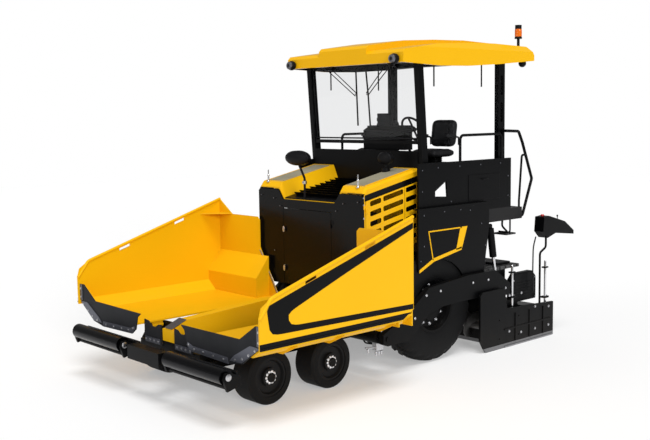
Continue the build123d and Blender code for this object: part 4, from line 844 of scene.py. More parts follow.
# %% Wear cap and guard strips
ridge_top = edge("conveyor_deck", 2, 1)
front_x = edge("conveyor_deck", 0, 1)
cap = slab([(2.86, ridge_top - 0.058), (3.04, ridge_top - 0.131), (3.055, ridge_top - 0.131), (3.055, ridge_top - 0.125),
            (2.865, ridge_top - 0.048)], -0.066, 0.066)
add_piece("ridge_wear_cap", cap, clamp_steel, "machine", smooth=0, bevel=0.003)
rear_wall = edge("wing_left", 0, 0) + 0.016
for side, sign in (("left", 1), ("right", -1)):
    strip = slab([(sign * y, z) for y, z in ((0.515, 0.735), (0.855, 1.285), (0.885, 1.285), (0.545, 0.735))],
                 rear_wall - 0.001, rear_wall + 0.007, "yz")
    add_piece(f"guard_strip_{side}", strip, steel, f"wing_{side}", smooth=0, bevel=0.002)
print("ridge top", round(ridge_top, 3))

# %% [markdown]
# The slatted chains under the mix are scraped bright on top and black with bitumen elsewhere; here they get one
# dark steel finish all over. The push rollers in front are smooth dark steel tubes that a truck's tyres press on.

# %% Chains and push rollers
chain_steel = metal("scraped_chain_steel", (0.10, 0.10, 0.105, 1), 0.5, depth=0.0010, scale=30.0)
roller_steel = metal("push_roller_steel", (0.012, 0.012, 0.014, 1), 0.28, depth=0.0002, scale=20.0, dusty=0.08)
dress(chain_steel, "conveyor_chains")
dress(roller_steel, "push_roller_left", "push_roller_right")
for side, sign in (("left", 1), ("right", -1)):
    x, z = (edge("push_roller_left", 0, 0) + edge("push_roller_left", 0, 1)) / 2, 0.535
    for place, y in (("outer", 1.449), ("inner", 0.401)):
        ring = turned([(0.034, 0), (0.034, 0.006), (0.02, 0.012), (0.0, 0.012)],
                      (x, 0, z), sides=24)
        points, faces = ring
        reach = 1 if place == "outer" else -1
        points = points * (1, reach, 1) + (0, y, 0)
        faces = faces if reach > 0 else [face[::-1] for face in faces]
        mesh = (points, faces) if sign > 0 else mirror_y((points, faces))
        add_piece(f"roller_end_cap_{place}_{side}", mesh, zinc, "push_beam")
    guard = slab([(3.214, 0.455), (3.238, 0.455), (3.238, 0.560), (3.226, 0.572), (3.214, 0.572)], 0.30, 1.425)
    add_piece(f"roller_guard_{side}", guard if sign > 0 else mirror_y(guard), dark_frame, "push_beam", smooth=0,
              bevel=0.004)
print("rollers at", round(x, 3))

# %% [markdown]
# ## Hood
# The hood stands between the hopper and the platform. Its shoulders rise by 1 in 5 towards the rear, so
# `z + 0.2 x` is the same all along a line that follows them. That one sum is enough to mask the dark band
# between the rounded yellow rim and the first row of cooling slots. The front is glossy black.

# %% Hood paint
HOOD_RISE = 0.2
RIM_LINE = edge("hood_shell", 2, 1) + HOOD_RISE * edge("hood_shell", 0, 0)
HOOD_FRONT = edge("hood_front", 0, 1)
HOOD_SIDE = 0.930


def below_rim(tree):
    """The dark band on the flanks, between the rim and the first row of slots, and the dark inside."""
    x, y, z = position(tree)
    slope = calc(tree, "ADD", z, calc(tree, "MULTIPLY", x, HOOD_RISE))
    flank = above(tree, calc(tree, "ABSOLUTE", y), HOOD_SIDE - 0.012)
    band = both(tree, flank, above(tree, slope, RIM_LINE - 0.150), below(tree, slope, RIM_LINE - 0.078),
                above(tree, x, edge("hood_shell", 0, 0) + 0.035), below(tree, x, HOOD_FRONT - 0.045))
    inside = both(tree, above(tree, calc(tree, "ABSOLUTE", y), 0.66), below(tree, calc(tree, "ABSOLUTE", y), 0.9285),
                  below(tree, slope, RIM_LINE - 0.06), below(tree, x, HOOD_FRONT - 0.03))
    return calc(tree, "MAXIMUM", band, inside)


hood_yellow = painted("hood_yellow_paint", YELLOW, 0.28, where=below_rim, wear=0.15, dusty=0.02, up_to=1.2, shine=0.1)
panel_black = painted("hood_front_gloss", BLACK, 0.2, wear=0.04, dusty=0.02, up_to=1.2, coat=0.1)
deck_black = painted("hood_deck_black", BLACK, 0.38, wear=0.1, dusty=0.02)
dress(hood_yellow, "hood_shell", "side_door_left", "side_door_right")
dress(panel_black, "hood_front", "front_door")
dress(deck_black, "hood_deck")
print("rim line", round(RIM_LINE, 3))

# %% [markdown]
# People stand on the shoulders to reach the engine, so each carries a gritty mat. The mat is a ribbon
# `point(s, t) = (x(s), y(t), rim(x) + thickness)` laid on the shoulder and closed underneath. Two bright
# locating pins stand at the front corners, and a yellow lip runs round the mouth of the trough.

# %% Shoulder mats and pins
def shoulder_top(x):
    """Height of the shoulder at x from the axle."""
    return RIM_LINE + 0.004 - HOOD_RISE * x


def ribbon(xs, y0, y1, thick, lift=0.0):
    """A mat along the shoulder: four corners of its section at each x, joined into a closed strip."""
    xs = np.asarray(xs)
    top = shoulder_top(xs) + lift
    points = np.zeros((len(xs), 4, 3))
    for column, (y, high) in enumerate(((y0, thick), (y1, thick), (y1, -0.002), (y0, -0.002))):
        points[:, column] = np.stack([xs + AXLE, np.full(len(xs), y), top + high], axis=1)
    return grid_mesh(points, round_columns=True, capped=True)


grit = moulded("gritty_mat", (0.24, 0.22, 0.155, 1), 0.85, 900.0, 0.0012, 0.0, mottle=0.5)
pin_profile = [(0.0, 0.0), (0.022, 0.0), (0.022, 0.008), (0.016, 0.014), (0.011, 0.020), (0.011, 0.075), (0.015, 0.079),
               (0.015, 0.088), (0.008, 0.096), (0.006, 0.150), (0.0, 0.154)]
for side, sign in (("left", 1), ("right", -1)):
    mat = ribbon(np.linspace(0.17, 0.93, 12), 0.56, 0.852, 0.005)
    add_piece(f"shoulder_mat_{side}", mat if sign > 0 else mirror_y(mat), grit, "machine", smooth=0)
    edge_bar = ribbon(np.linspace(0.155, 0.935, 12), 0.855, 0.865, 0.008)
    add_piece(f"mat_edge_{side}", edge_bar if sign > 0 else mirror_y(edge_bar), hood_yellow, "machine",
              smooth=0, bevel=0.002)
    pin = turned(pin_profile, (0.985, sign * 0.80, shoulder_top(0.985) - 0.008), axis="z", sides=20)
    add_piece(f"locating_pin_{side}", pin, chrome, "machine")
print("shoulder rises to", round(float(shoulder_top(0.15)), 3))

# %% [markdown]
# Small hardware tells the size of the hood: two latches on the front door, bolt heads down the front edge
# of the flank, hinge barrels, and a lifting eye on the deck.

# %% Latches and bolt heads
def latch(y, z, x):
    """A recessed paddle latch: an oval dish and the paddle."""
    dish = turned([(0.0, 0.0), (0.026, 0.0), (0.030, 0.003), (0.030, 0.006), (0.026, 0.006), (0.022, 0.003),
                   (0.0, 0.003)], (0, 0, 0), axis="x", sides=32)
    points = dish[0] * (1, 0.62, 1.25) + (x, y, z)
    paddle = slab([(y - 0.010, z - 0.026), (y + 0.010, z - 0.026), (y + 0.012, z + 0.020), (y - 0.012, z + 0.020)],
                  x + 0.003, x + 0.009, "yz")
    return together((points, dish[1]), paddle)


for number, (y, z) in enumerate(((-0.435, 1.58), (-0.435, 1.10))):
    add_piece(f"door_latch_{number}", latch(y, z, HOOD_FRONT), zinc, "front_door", bevel=0.0015)
for side, sign in (("left", 1), ("right", -1)):
    places = [(HOOD_FRONT - 0.028, sign * HOOD_SIDE, z) for z in (2.03, 1.95, 1.80, 1.62, 1.44)]
    add_piece(f"flank_bolts_{side}", bolts(places, radius=0.009, high=0.006, axis="y", sign=sign), zinc, "machine")
places = [(HOOD_FRONT, sign * y, z) for sign in (1, -1) for y, z in ((0.62, 1.95), (0.62, 1.30), (0.86, 1.98), (0.50, 1.86))]
add_piece("front_panel_bolts", bolts(places, radius=0.006, high=0.004, axis="x"), clamp_steel, "machine")
print("hood hardware at x", round(HOOD_FRONT, 3))

# %% [markdown]
# ## Fenders and platform
# The tall black body behind the hood covers the rear wheels. On its flank a thin line and two broad bars
# make a slanted frame. They are thin films, each a slab between the skin and a millimetre and a half
# outside it.

# %% Body paint and its yellow frame
dress(cab_black, "rear_body", "platform_walls", "canopy_posts", "handrails", "console")
SKIN = edge("rear_body", 1, 1)
film_yellow = painted("frame_line_film", YELLOW, 0.32, wear=0.0, dusty=0.03, coat=0.06)
lines = {
    "front_line": [(0.153, 1.580), (0.167, 1.580), (0.092, 1.241), (0.076, 1.241)],
    "top_line": [(0.167, 1.592), (0.167, 1.577), (-0.44, 1.577), (-0.44, 1.592)],
    "broad_bar": [(-0.415, 1.592), (-0.545, 1.592), (-0.443, 1.330), (-0.335, 1.318)],
    "foot_bar": [(-0.440, 1.352), (0.076, 1.262), (0.325, 1.150), (0.325, 1.112), (0.070, 1.222), (-0.435, 1.312)],
}
for side, sign in (("left", 1), ("right", -1)):
    for name, corners in lines.items():
        mesh = slab(corners[::-1], SKIN - 0.001, SKIN + 0.0015)
        add_piece(f"{name}_{side}", mesh if sign > 0 else mirror_y(mesh), film_yellow, "machine", smooth=0)
places = [(x, SKIN, z) for x, z in ((0.24, 1.78), (0.24, 1.42), (-0.12, 1.80), (-0.60, 1.78), (-0.82, 1.60), (-0.90, 1.32),
                                    (0.30, 1.25), (-0.42, 1.80))]
add_piece("skin_bolts_left", bolts(places, radius=0.007, high=0.005, axis="y"), clamp_steel, "machine")
places = [(x, -y, z) for x, y, z in places]
add_piece("skin_bolts_right", bolts(places, radius=0.007, high=0.005, axis="y", sign=-1), clamp_steel, "machine")
print("skin at y", round(SKIN, 3))

# %% [markdown]
# The platform's floor and the step behind it are pressed tread plate: short ridges that turn by a quarter
# from one to the next. The pattern is a height made from two stretched waves, fed to the normal only.

# %% Tread plate
def tread_plate(name, colour, roughness):
    """Painted plate with a raised lozenge pattern. height = max of two crossed, chopped waves."""
    material, tree, shader = finish(name, colour, roughness, Coat_Weight=0.02, Specular_IOR_Level=0.15)
    x, y, z = position(tree)
    ridges = []
    for along, over in ((x, y), (y, x)):
        wide = calc(tree, "SINE", calc(tree, "MULTIPLY", along, 105.0))
        short = calc(tree, "SINE", calc(tree, "ADD", calc(tree, "MULTIPLY", over, 52.0), 0.8))
        ridges.append(calc(tree, "MULTIPLY", above(tree, wide, 0.55), above(tree, short, 0.1)))
    height = calc(tree, "MAXIMUM", ridges[0], ridges[1])
    bump = node(tree, "Bump")
    join(tree, height, bump.inputs["Height"])
    bump.inputs["Distance"].default_value = 0.002
    rub = use(tree, grain, Scale=40.0, Depth=0.0004)
    bright = blend_colour(tree, calc(tree, "MULTIPLY", height, rub["Value"]), colour, (0.18, 0.18, 0.18, 1))
    dirt = use(tree, dust, Up_To=2.6, Amount=0.12)["Mask"]
    join(tree, blend_colour(tree, dirt, bright, DUST), shader.inputs["Base Color"])
    join(tree, blend_value(tree, height, roughness + 0.15, roughness), shader.inputs["Roughness"])
    join(tree, bump.outputs[0], shader.inputs["Normal"])
    return material


plate_black = tread_plate("tread_plate_black", (0.014, 0.014, 0.015, 1), 0.45)
dress(plate_black, "platform_deck", "screed_walkway")
wall_out = edge("platform_walls", 1, 1)
rows = [(0.18, 2.30), (0.18, 2.05), (-0.10, 2.32), (-0.50, 2.32), (-0.90, 2.32), (-1.30, 2.32), (-1.46, 2.15), (-1.46, 1.90),
        (-0.60, 1.84), (-1.00, 1.84), (-0.34, 1.90)]
for side, sign in (("left", 1), ("right", -1)):
    places = [(x, sign * wall_out, z) for x, z in rows]
    add_piece(f"wall_bolts_{side}", bolts(places, radius=0.007, high=0.005, axis="y", sign=sign), clamp_steel, "machine")
    lid = slab([(-0.66, 1.88), (-0.66, 2.20), (-1.28, 2.20), (-1.28, 1.88)][::-1], wall_out - 0.001, wall_out + 0.006)
    add_piece(f"locker_lid_{side}", lid if sign > 0 else mirror_y(lid), cab_black, "machine", smooth=0,
              bevel=0.004)
    grip = tube(rounded_path([(-0.92, sign * (wall_out + 0.002), 2.14), (-0.92, sign * (wall_out + 0.030), 2.14),
                              (-1.02, sign * (wall_out + 0.030), 2.14), (-1.02, sign * (wall_out + 0.002), 2.14)], 0.012), 0.006)
    add_piece(f"lid_grip_{side}", grip, plastic, "machine")
print("platform walls at y", round(wall_out, 3))

# %% [markdown]
# The driver's desk carries a display, a joystick and a row of switches, and slides with the seats from one
# side to the other. The steering wheel already stands in the solids.

# %% Desk fittings
desk_top = 2.815
screen_glass = moulded("display_face", (0.010, 0.013, 0.018, 1), 0.12, 20.0, 0.00005, 0.0, mottle=0.8)
display = slab([(-0.085, desk_top - 0.002), (-0.065, desk_top - 0.002), (-0.045, desk_top + 0.15), (-0.065, desk_top + 0.155)][::-1],
               0.10, 0.34)
add_piece("display_housing", display, plastic, "machine", smooth=0, bevel=0.004)
face_plate = slab([(-0.0865, desk_top + 0.015), (-0.0845, desk_top + 0.015), (-0.0675, desk_top + 0.138),
                   (-0.0695, desk_top + 0.138)][::-1], 0.115, 0.325)
add_piece("display_glass", face_plate, screen_glass, "machine", smooth=0)
grip = turned([(0.0, 0.0), (0.030, 0.0), (0.032, 0.006), (0.012, 0.022), (0.010, 0.070), (0.018, 0.080), (0.020, 0.110),
               (0.012, 0.124), (0.0, 0.126)], (-0.15, 0.02, 2.795), axis="z", sides=24)
add_piece("drive_lever", grip, plastic, "machine")
dials = together(*[turned([(0.0, 0.0), (0.014, 0.0), (0.014, 0.010), (0.010, 0.014), (0.0, 0.014)], (x, y, 2.802),
                          axis="z", sides=20) for x in (-0.10, -0.14) for y in (-0.11, -0.07, -0.03)])
add_piece("desk_dials", dials, grey_paint, "machine")
print("desk top", desk_top)

# %% [markdown]
# ## Canopy
# The roof is a yellow moulded shell, dark underneath. The windscreen is thin clear glass with faint wiper
# smears, and its wipers hang from the upper bar on twin arms. All the screen's pieces lean with the posts.

# %% Roof and windscreen
ROOF_HALF = edge("roof", 1, 1)


def under_roof(tree):
    """The hollow under the shell, which is lined in black."""
    x, y, z = position(tree)
    return both(tree, below(tree, calc(tree, "ABSOLUTE", y), ROOF_HALF - 0.030), below(tree, z, 3.662),
                below(tree, x, edge("roof", 0, 1) - 0.030), above(tree, x, edge("roof", 0, 0) + 0.030))


roof_yellow = painted("roof_yellow_shell", YELLOW, 0.3, where=under_roof, wear=0.0, dusty=0.0, coat=0.04, drift=0.05, shine=0.12)
dress(roof_yellow, "roof")
glass, tree, shader = finish("windscreen_glass", (0.83, 0.835, 0.84, 1), 0.02, Transmission_Weight=1.0, IOR=1.2)
smear = node(tree, "TexNoise")
join(tree, node(tree, "TexCoord").outputs["Object"], smear.inputs["Vector"])
join(tree, 3.0, smear.inputs["Scale"])
join(tree, calc(tree, "MULTIPLY", smear.outputs[0], 0.03), shader.inputs["Roughness"])
dress(glass, "windscreen")


def screen_x(z):
    """The windscreen's front face at height z."""
    return edge("windscreen", 0, 0) + 0.008 + (z - edge("windscreen", 2, 0)) * 0.08 / 1.13


def on_screen(y, z, off):
    return (screen_x(z) + off, y, z)


wiper_black = moulded("wiper_black", (0.010, 0.010, 0.011, 1), 0.35, 300.0, 0.0002, 0.0)
for name, sign in (("near", 1), ("far", -1)):
    top_y, joint_y = 0.552 * sign, 0.100 * sign
    motor = turned([(0.0, -0.004), (0.034, -0.004), (0.038, 0.004), (0.038, 0.030), (0.026, 0.042), (0.014, 0.046),
                    (0.014, 0.062), (0.0, 0.064)], on_screen(top_y, 3.555, 0.020), axis="x", sides=28)
    arms = [tube([on_screen(top_y + off, 3.555 - off * sign, 0.070), on_screen(top_y * 0.6 + joint_y * 0.4 + off, 3.42 - off * sign, 0.058),
                  on_screen(joint_y + off * 0.6, 3.206 - off * sign, 0.030)], 0.006, 10) for off in (-0.018, 0.018)]
    blade = tube([on_screen(joint_y - 0.012 * sign, 3.490, 0.018), on_screen(joint_y, 3.206, 0.015),
                  on_screen(joint_y + 0.008 * sign, 2.82, 0.018)], 0.008, 10)
    foot = tube([on_screen(joint_y - 0.012 * sign, 3.490, 0.007), on_screen(joint_y, 3.206, 0.005),
                 on_screen(joint_y + 0.008 * sign, 2.82, 0.007)], 0.005, 6)
    hub = bolts([on_screen(joint_y, 3.206, 0.032)], radius=0.011, high=0.008, axis="x")
    add_piece(f"wiper_{name}", together(motor, *arms, blade, foot), wiper_black, "machine")
    add_piece(f"wiper_bolt_{name}", hub, zinc, "machine")
seal_path = [(0.895, 2.665), (0.895, 3.575), (-0.895, 3.575), (-0.895, 2.665)]
seal = [on_screen(y, z, 0.004) for y, z in seal_path + seal_path[:1]]
add_piece("screen_seal", tube(seal, 0.011, 8), wiper_black, "machine")
print("windscreen leans from", round(screen_x(2.66), 3), "to", round(screen_x(3.58), 3))

# %% [markdown]
# The work lamps are balls with a glass face in a bright ring. The beacon is an amber dome with ribs inside:
# its radius is `r(z, a) = r0 + 0.0012 cos(16 a)` below the crown.

# %% Lamps and beacon
lamp_glass = moulded("lamp_lens", (0.03, 0.031, 0.034, 1), 0.05, 160.0, 0.0012, 0.0, mottle=0.6)
lamp_x, lamp_y, lamp_z = edge("roof_lamps", 0, 1) - 0.060, 0.90, 3.590
for side, sign in (("left", 1), ("right", -1)):
    ring = turned([(0.034, 0.047), (0.044, 0.043), (0.047, 0.034), (0.050, 0.034), (0.047, 0.049), (0.040, 0.055),
                   (0.034, 0.055)], (lamp_x, sign * lamp_y, lamp_z), axis="x", sides=40)
    add_piece(f"lamp_ring_{side}", ring, clamp_steel, "machine")
    lens = turned([(0.0, 0.046), (0.036, 0.044), (0.036, 0.050), (0.026, 0.055), (0.014, 0.058), (0.0, 0.059)],
                  (lamp_x, sign * lamp_y, lamp_z), axis="x", sides=40)
    add_piece(f"lamp_glass_{side}", lens, lamp_glass, "machine")
dress(plastic, "roof_lamps")
beacon_x = -1.860
beacon_top = edge("roof_lamps", 2, 1)
beacon_low = beacon_top - 0.148
angle = np.linspace(0, 2 * np.pi, 64, endpoint=False)
rows = []
for share in np.linspace(0, 1, 22):
    dome = 0.0445 * np.sqrt(max(0.0, 1 - (max(0.0, share - 0.45) / 0.55) ** 2.2))
    ribs = 0.0012 * np.cos(16 * angle) * (share < 0.6)
    radius = np.maximum(dome + ribs, 0.0008)
    rows.append(np.stack([beacon_x + AXLE + radius * np.cos(angle), 0.90 + radius * np.sin(angle),
                          np.full(64, beacon_low + 0.1482 * share)], axis=1))
amber, tree, shader = finish("beacon_amber", (0.95, 0.16, 0.006, 1), 0.12, Transmission_Weight=0.25, IOR=1.4)
glow = use(tree, grain, Scale=120.0, Depth=0.0002)
join(tree, blend_colour(tree, glow["Value"], (0.85, 0.11, 0.004, 1), (1.0, 0.24, 0.012, 1)), shader.inputs["Base Color"])
join(tree, glow["Normal"], shader.inputs["Normal"])
add_piece("beacon_dome", grid_mesh(np.array(rows), round_columns=True, capped=True), amber, "machine")
print("beacon to", round(beacon_top, 3))

# %% [markdown]
# Each mirror is an oval glass in a domed housing. The housing is a grid of ellipses that shrink along a
# quarter circle: `point(t, a) = middle + (deep sin t, half_y cos t cos a, half_z cos t sin a)`. A clamp
# dresses one stalk.

# %% Mirrors
def mirror_dome(x, y, z, half_y, half_z, deep, sign):
    """Domed back of a mirror: sign is +1 towards the hopper."""
    turns, angles = np.linspace(0, 0.97 * np.pi / 2, 12), np.linspace(0, 2 * np.pi, 48, endpoint=False)
    points = np.array([[(x + AXLE + sign * deep * np.sin(t), y + half_y * np.cos(t) * np.cos(a),
                         z + half_z * np.cos(t) * np.sin(a)) for a in angles] for t in turns])
    return grid_mesh(points, round_columns=True, capped=True)


mirror_glass = metal("mirror_glass", (0.55, 0.57, 0.60, 1), 0.04, depth=0.00001, dusty=0.0, streaks=0.02)
dress(plastic, "mirrors")
for name, (x, y, z, half_y, half_z, thick) in {"far": (0.985, -0.23, 2.45, 0.210, 0.090, 0.025),
                                                "near": (0.322, 0.597, 2.44, 0.110, 0.075, 0.0275)}.items():
    add_piece(f"mirror_back_{name}", mirror_dome(x + thick - 0.004, y, z, half_y * 0.985, half_z * 0.985, 0.034, 1), plastic,
              "machine")
    add_piece(f"mirror_glass_{name}", mirror_dome(x - thick + 0.001, y, z, half_y * 0.92, half_z * 0.88, 0.004, -1),
              mirror_glass, "machine")
clamp = together(turned([(0.016, -0.018), (0.026, -0.018), (0.026, 0.018), (0.016, 0.018)], (0.98, -0.12, 2.16), axis="z",
                        sides=28),
                 bolts([(1.005, -0.12, 2.16)], radius=0.008, high=0.012, axis="x"))
add_piece("mirror_clamp", clamp, zinc, "machine")
print("two mirrors")

# %% [markdown]
# ## Seats
# Two seats face the hopper. Pan and back are foam under vinyl, so each starts as a rounded block, a
# superellipsoid: `x = a C(v) C(u)`, `y = b C(v) S(u)`, `z = c S(v)`, where `C(w) = sign(cos w) |cos w| ** n`.
# A small n gives a boxy shape with rounded corners. The sides then pull in between the corners.

# %% Cushion forms
def power(value, exponent):
    return np.sign(value) * np.abs(value) ** exponent


def cushion(middle, half, boxy=0.32, flat=0.55, pull=0.05, lean=0.0, rows=30, columns=72):
    """A closed cushion about middle with half sizes half; lean moves x with height."""
    v = np.linspace(-np.pi / 2 + 0.02, np.pi / 2 - 0.02, rows)[:, None]
    u = np.linspace(0, 2 * np.pi, columns, endpoint=False)[None, :]
    x = power(np.cos(v), flat) * power(np.cos(u), boxy)
    y = power(np.cos(v), flat) * power(np.sin(u), boxy)
    z = power(np.sin(v), flat) * np.ones_like(u)
    inward = 1 - pull * (np.cos(2 * u) ** 2) * np.cos(v) ** 2
    points = np.stack([half[0] * x * inward + lean * half[2] * z, half[1] * y * inward, half[2] * z], axis=2)
    return grid_mesh(points + np.asarray(middle) + (AXLE, 0, 0), round_columns=True, capped=True)


def inflate(piece, cap, voxel=0.006):
    """Foam under a stretched cover: the form is remeshed evenly, blown up a little as cloth, and kept.

    No point may move more than cap, so the seat keeps its size.
    """
    even = piece.modifiers.new("even", "REMESH")
    even.mode, even.voxel_size = "VOXEL", voxel
    data = bpy.data.meshes.new_from_object(piece.evaluated_get(bpy.context.evaluated_depsgraph_get()))
    piece.modifiers.clear()
    old, piece.data = piece.data, data
    bpy.data.meshes.remove(old)
    rest = np.zeros(3 * len(data.vertices))
    data.vertices.foreach_get("co", rest)
    cloth = piece.modifiers.new("foam", "CLOTH")
    cloth.settings.use_pressure = True
    cloth.settings.uniform_pressure_force = 4.0
    cloth.settings.effector_weights.gravity = 0.0
    for frame in range(1, 21):
        scene.frame_set(frame)
    blown = piece.evaluated_get(bpy.context.evaluated_depsgraph_get())
    moved = np.zeros(3 * len(data.vertices))
    blown.data.vertices.foreach_get("co", moved)
    move = (moved - rest).reshape(-1, 3)
    length = np.linalg.norm(move, axis=1, keepdims=True)
    move *= np.minimum(1.0, cap / np.maximum(length, 1e-9))
    piece.modifiers.clear()
    data.vertices.foreach_set("co", (rest.reshape(-1, 3) + move).ravel())
    data.update()
    scene.frame_set(1)
    data.polygons.foreach_set("use_smooth", np.ones(len(data.polygons), dtype=bool))
    smoother = piece.modifiers.new("smoother", "SUBSURF")
    smoother.levels = smoother.render_levels = 1


print("cushion form ready")

# %% [markdown]
# Vinyl has a fine leathery grain and a soft sheen of its own. The seams come after the foam is blown up:
# each is a cord laid on the finished surface, found by casting rays at it.

# %% Seats
from mathutils import Vector
from mathutils.bvhtree import BVHTree

vinyl = moulded("seat_vinyl", (0.011, 0.011, 0.012, 1), 0.42, 420.0, 0.0005, 0.0, mottle=0.9)


def seam_on(piece, starts, direction, radius=0.0035):
    """A cord along the places where rays from starts meet the piece."""
    evaluated = piece.evaluated_get(bpy.context.evaluated_depsgraph_get())
    surface = BVHTree.FromPolygons([v.co.copy() for v in evaluated.data.vertices],
                                   [tuple(p.vertices) for p in evaluated.data.polygons])
    hits = [surface.ray_cast(Vector(start), Vector(direction))[0] for start in starts]
    path = np.array([tuple(hit) for hit in hits if hit is not None]) - (AXLE, 0, 0)
    return tube(path, radius, 8)


SEAT_Y = 0.5
for side, sign in (("left", 1), ("right", -1)):
    pan = add_piece(f"seat_pan_{side}", cushion((-0.630, sign * SEAT_Y, 2.462), (0.218, 0.216, 0.043)), vinyl, "machine")
    back = add_piece(f"seat_back_{side}", cushion((-0.850, sign * SEAT_Y, 2.705), (0.050, 0.205, 0.178), boxy=0.5, flat=0.42,
                                                  pull=0.04, lean=-0.12), vinyl, "machine")
    for piece, cap in ((pan, 0.008), (back, 0.010)):
        inflate(piece, cap)
        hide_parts("seats")
    across = np.linspace(-0.185, 0.185, 40)
    along = np.linspace(-0.80, -0.46, 40)
    cords = [seam_on(pan, [(x + AXLE, sign * SEAT_Y + off, 2.70) for x in along], (0, 0, -1)) for off in (-0.13, 0.13)]
    cords.append(seam_on(pan, [(-0.70 + AXLE, sign * SEAT_Y + y, 2.70) for y in across * 0.7], (0, 0, -1)))
    up = np.linspace(2.56, 2.85, 40)
    cords += [seam_on(back, [(-0.55 + AXLE, sign * SEAT_Y + off, z) for z in up], (-1, 0, 0)) for off in (-0.12, 0.12)]
    cords.append(seam_on(back, [(-0.55 + AXLE, sign * SEAT_Y + y, 2.62) for y in across * 0.62], (-1, 0, 0)))
    seams = add_piece(f"seat_seams_{side}", together(*cords), plastic, "machine")
    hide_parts("seats")
    arm = slab([(x, sign * y) for x, y in ((-0.95, 0.36), (-0.56, 0.36), (-0.56, 1.0), (-0.60, 1.014), (-0.91, 1.014),
                                           (-0.95, 1.0))], 2.302, 2.336, "xy")
    bellows = turned([(0.0, 2.336), (0.105, 2.336)] + [(0.105 - 0.012 * (i % 2), 2.342 + 0.011 * i) for i in range(7)]
                     + [(0.0, 2.414)], (-0.66, sign * SEAT_Y, 0), axis="z", sides=40)
    plinth = together(arm, bellows)
    frame_piece = add_piece(f"seat_frame_{side}", plinth, dark_frame, "machine", smooth=35, bevel=0.003)
    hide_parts("seats")
    rests = []
    for reach in (-1, 1):
        y = sign * SEAT_Y + reach * 0.232
        rests.append(tube(rounded_path([(-0.86, y, 2.56), (-0.86, y, 2.66), (-0.62, y, 2.66)], 0.03), 0.011, 12))
    rest_piece = add_piece(f"arm_rests_{side}", together(*rests), dark_frame, "machine")
    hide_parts("seats")
    pads = [cushion((-0.70, sign * SEAT_Y + reach * 0.232, 2.680), (0.105, 0.024, 0.016), rows=14, columns=40)
            for reach in (-1, 1)]
    pad_piece = add_piece(f"arm_pads_{side}", together(*pads), vinyl, "machine")
    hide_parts("seats")
print("two seats with", len(across), "points a seam")

# %% [markdown]
# ## Screed and augers
# The screed is a heavy black box whose sole plate is worn bright along its foot. The augers spread the
# mix, so their flights are bare, dull steel.

# %% Screed finish
def worn_foot(tree):
    """The lowest 6 cm, polished by the mix."""
    x, y, z = position(tree)
    return below(tree, z, 0.055)


screed_black = painted("screed_black_paint", BLACK, 0.38, where=worn_foot, second=(0.16, 0.16, 0.165, 1), wear=0.3, dusty=0.1,
                       up_to=0.5)
dress(screed_black, "screed_body", "extension_left", "extension_right")
dress(cab_black, "control_panel_left", "control_panel_right")
auger_steel = metal("auger_steel", (0.17, 0.165, 0.16, 1), 0.48, depth=0.0015, scale=25.0, dusty=0.1)
dress(auger_steel, "auger_left", "auger_right")
plate_out = edge("extension_left", 1, 1)
for side, sign in (("left", 1), ("right", -1)):
    body = f"extension_{side}"
    places = [(x, sign * plate_out, z) for x, z in ((-1.20, 0.66), (-1.20, 0.20), (-1.45, 0.66), (-1.75, 0.44), (-2.05, 0.40),
                                                   (-2.05, 0.15), (-1.75, 0.15), (-1.45, 0.15))]
    add_piece(f"end_plate_bolts_{side}", bolts(places, radius=0.014, high=0.010, axis="y", sign=sign), zinc, body)
    stiff = [slab([(x0, 0.06), (x0, 0.42), (x0 - 0.016, 0.42), (x0 - 0.016, 0.06)], plate_out - 0.002, plate_out + 0.012)
             for x0 in (-1.32, -1.62, -1.92)]
    stiff.append(slab([(-1.10, 0.245), (-2.10, 0.245), (-2.10, 0.225), (-1.10, 0.225)], plate_out - 0.002, plate_out + 0.010))
    mesh = together(*stiff)
    add_piece(f"end_plate_ribs_{side}", mesh if sign > 0 else mirror_y(mesh), screed_black, body, smooth=0,
              bevel=0.003)
    runner = slab([(-1.10, 0.004), (-2.13, 0.004), (-2.13, 0.026), (-1.10, 0.026)], plate_out - 0.004, plate_out + 0.014)
    add_piece(f"runner_{side}", runner if sign > 0 else mirror_y(runner), steel, body, smooth=0, bevel=0.004)
print("end plates at y", round(plate_out, 3))
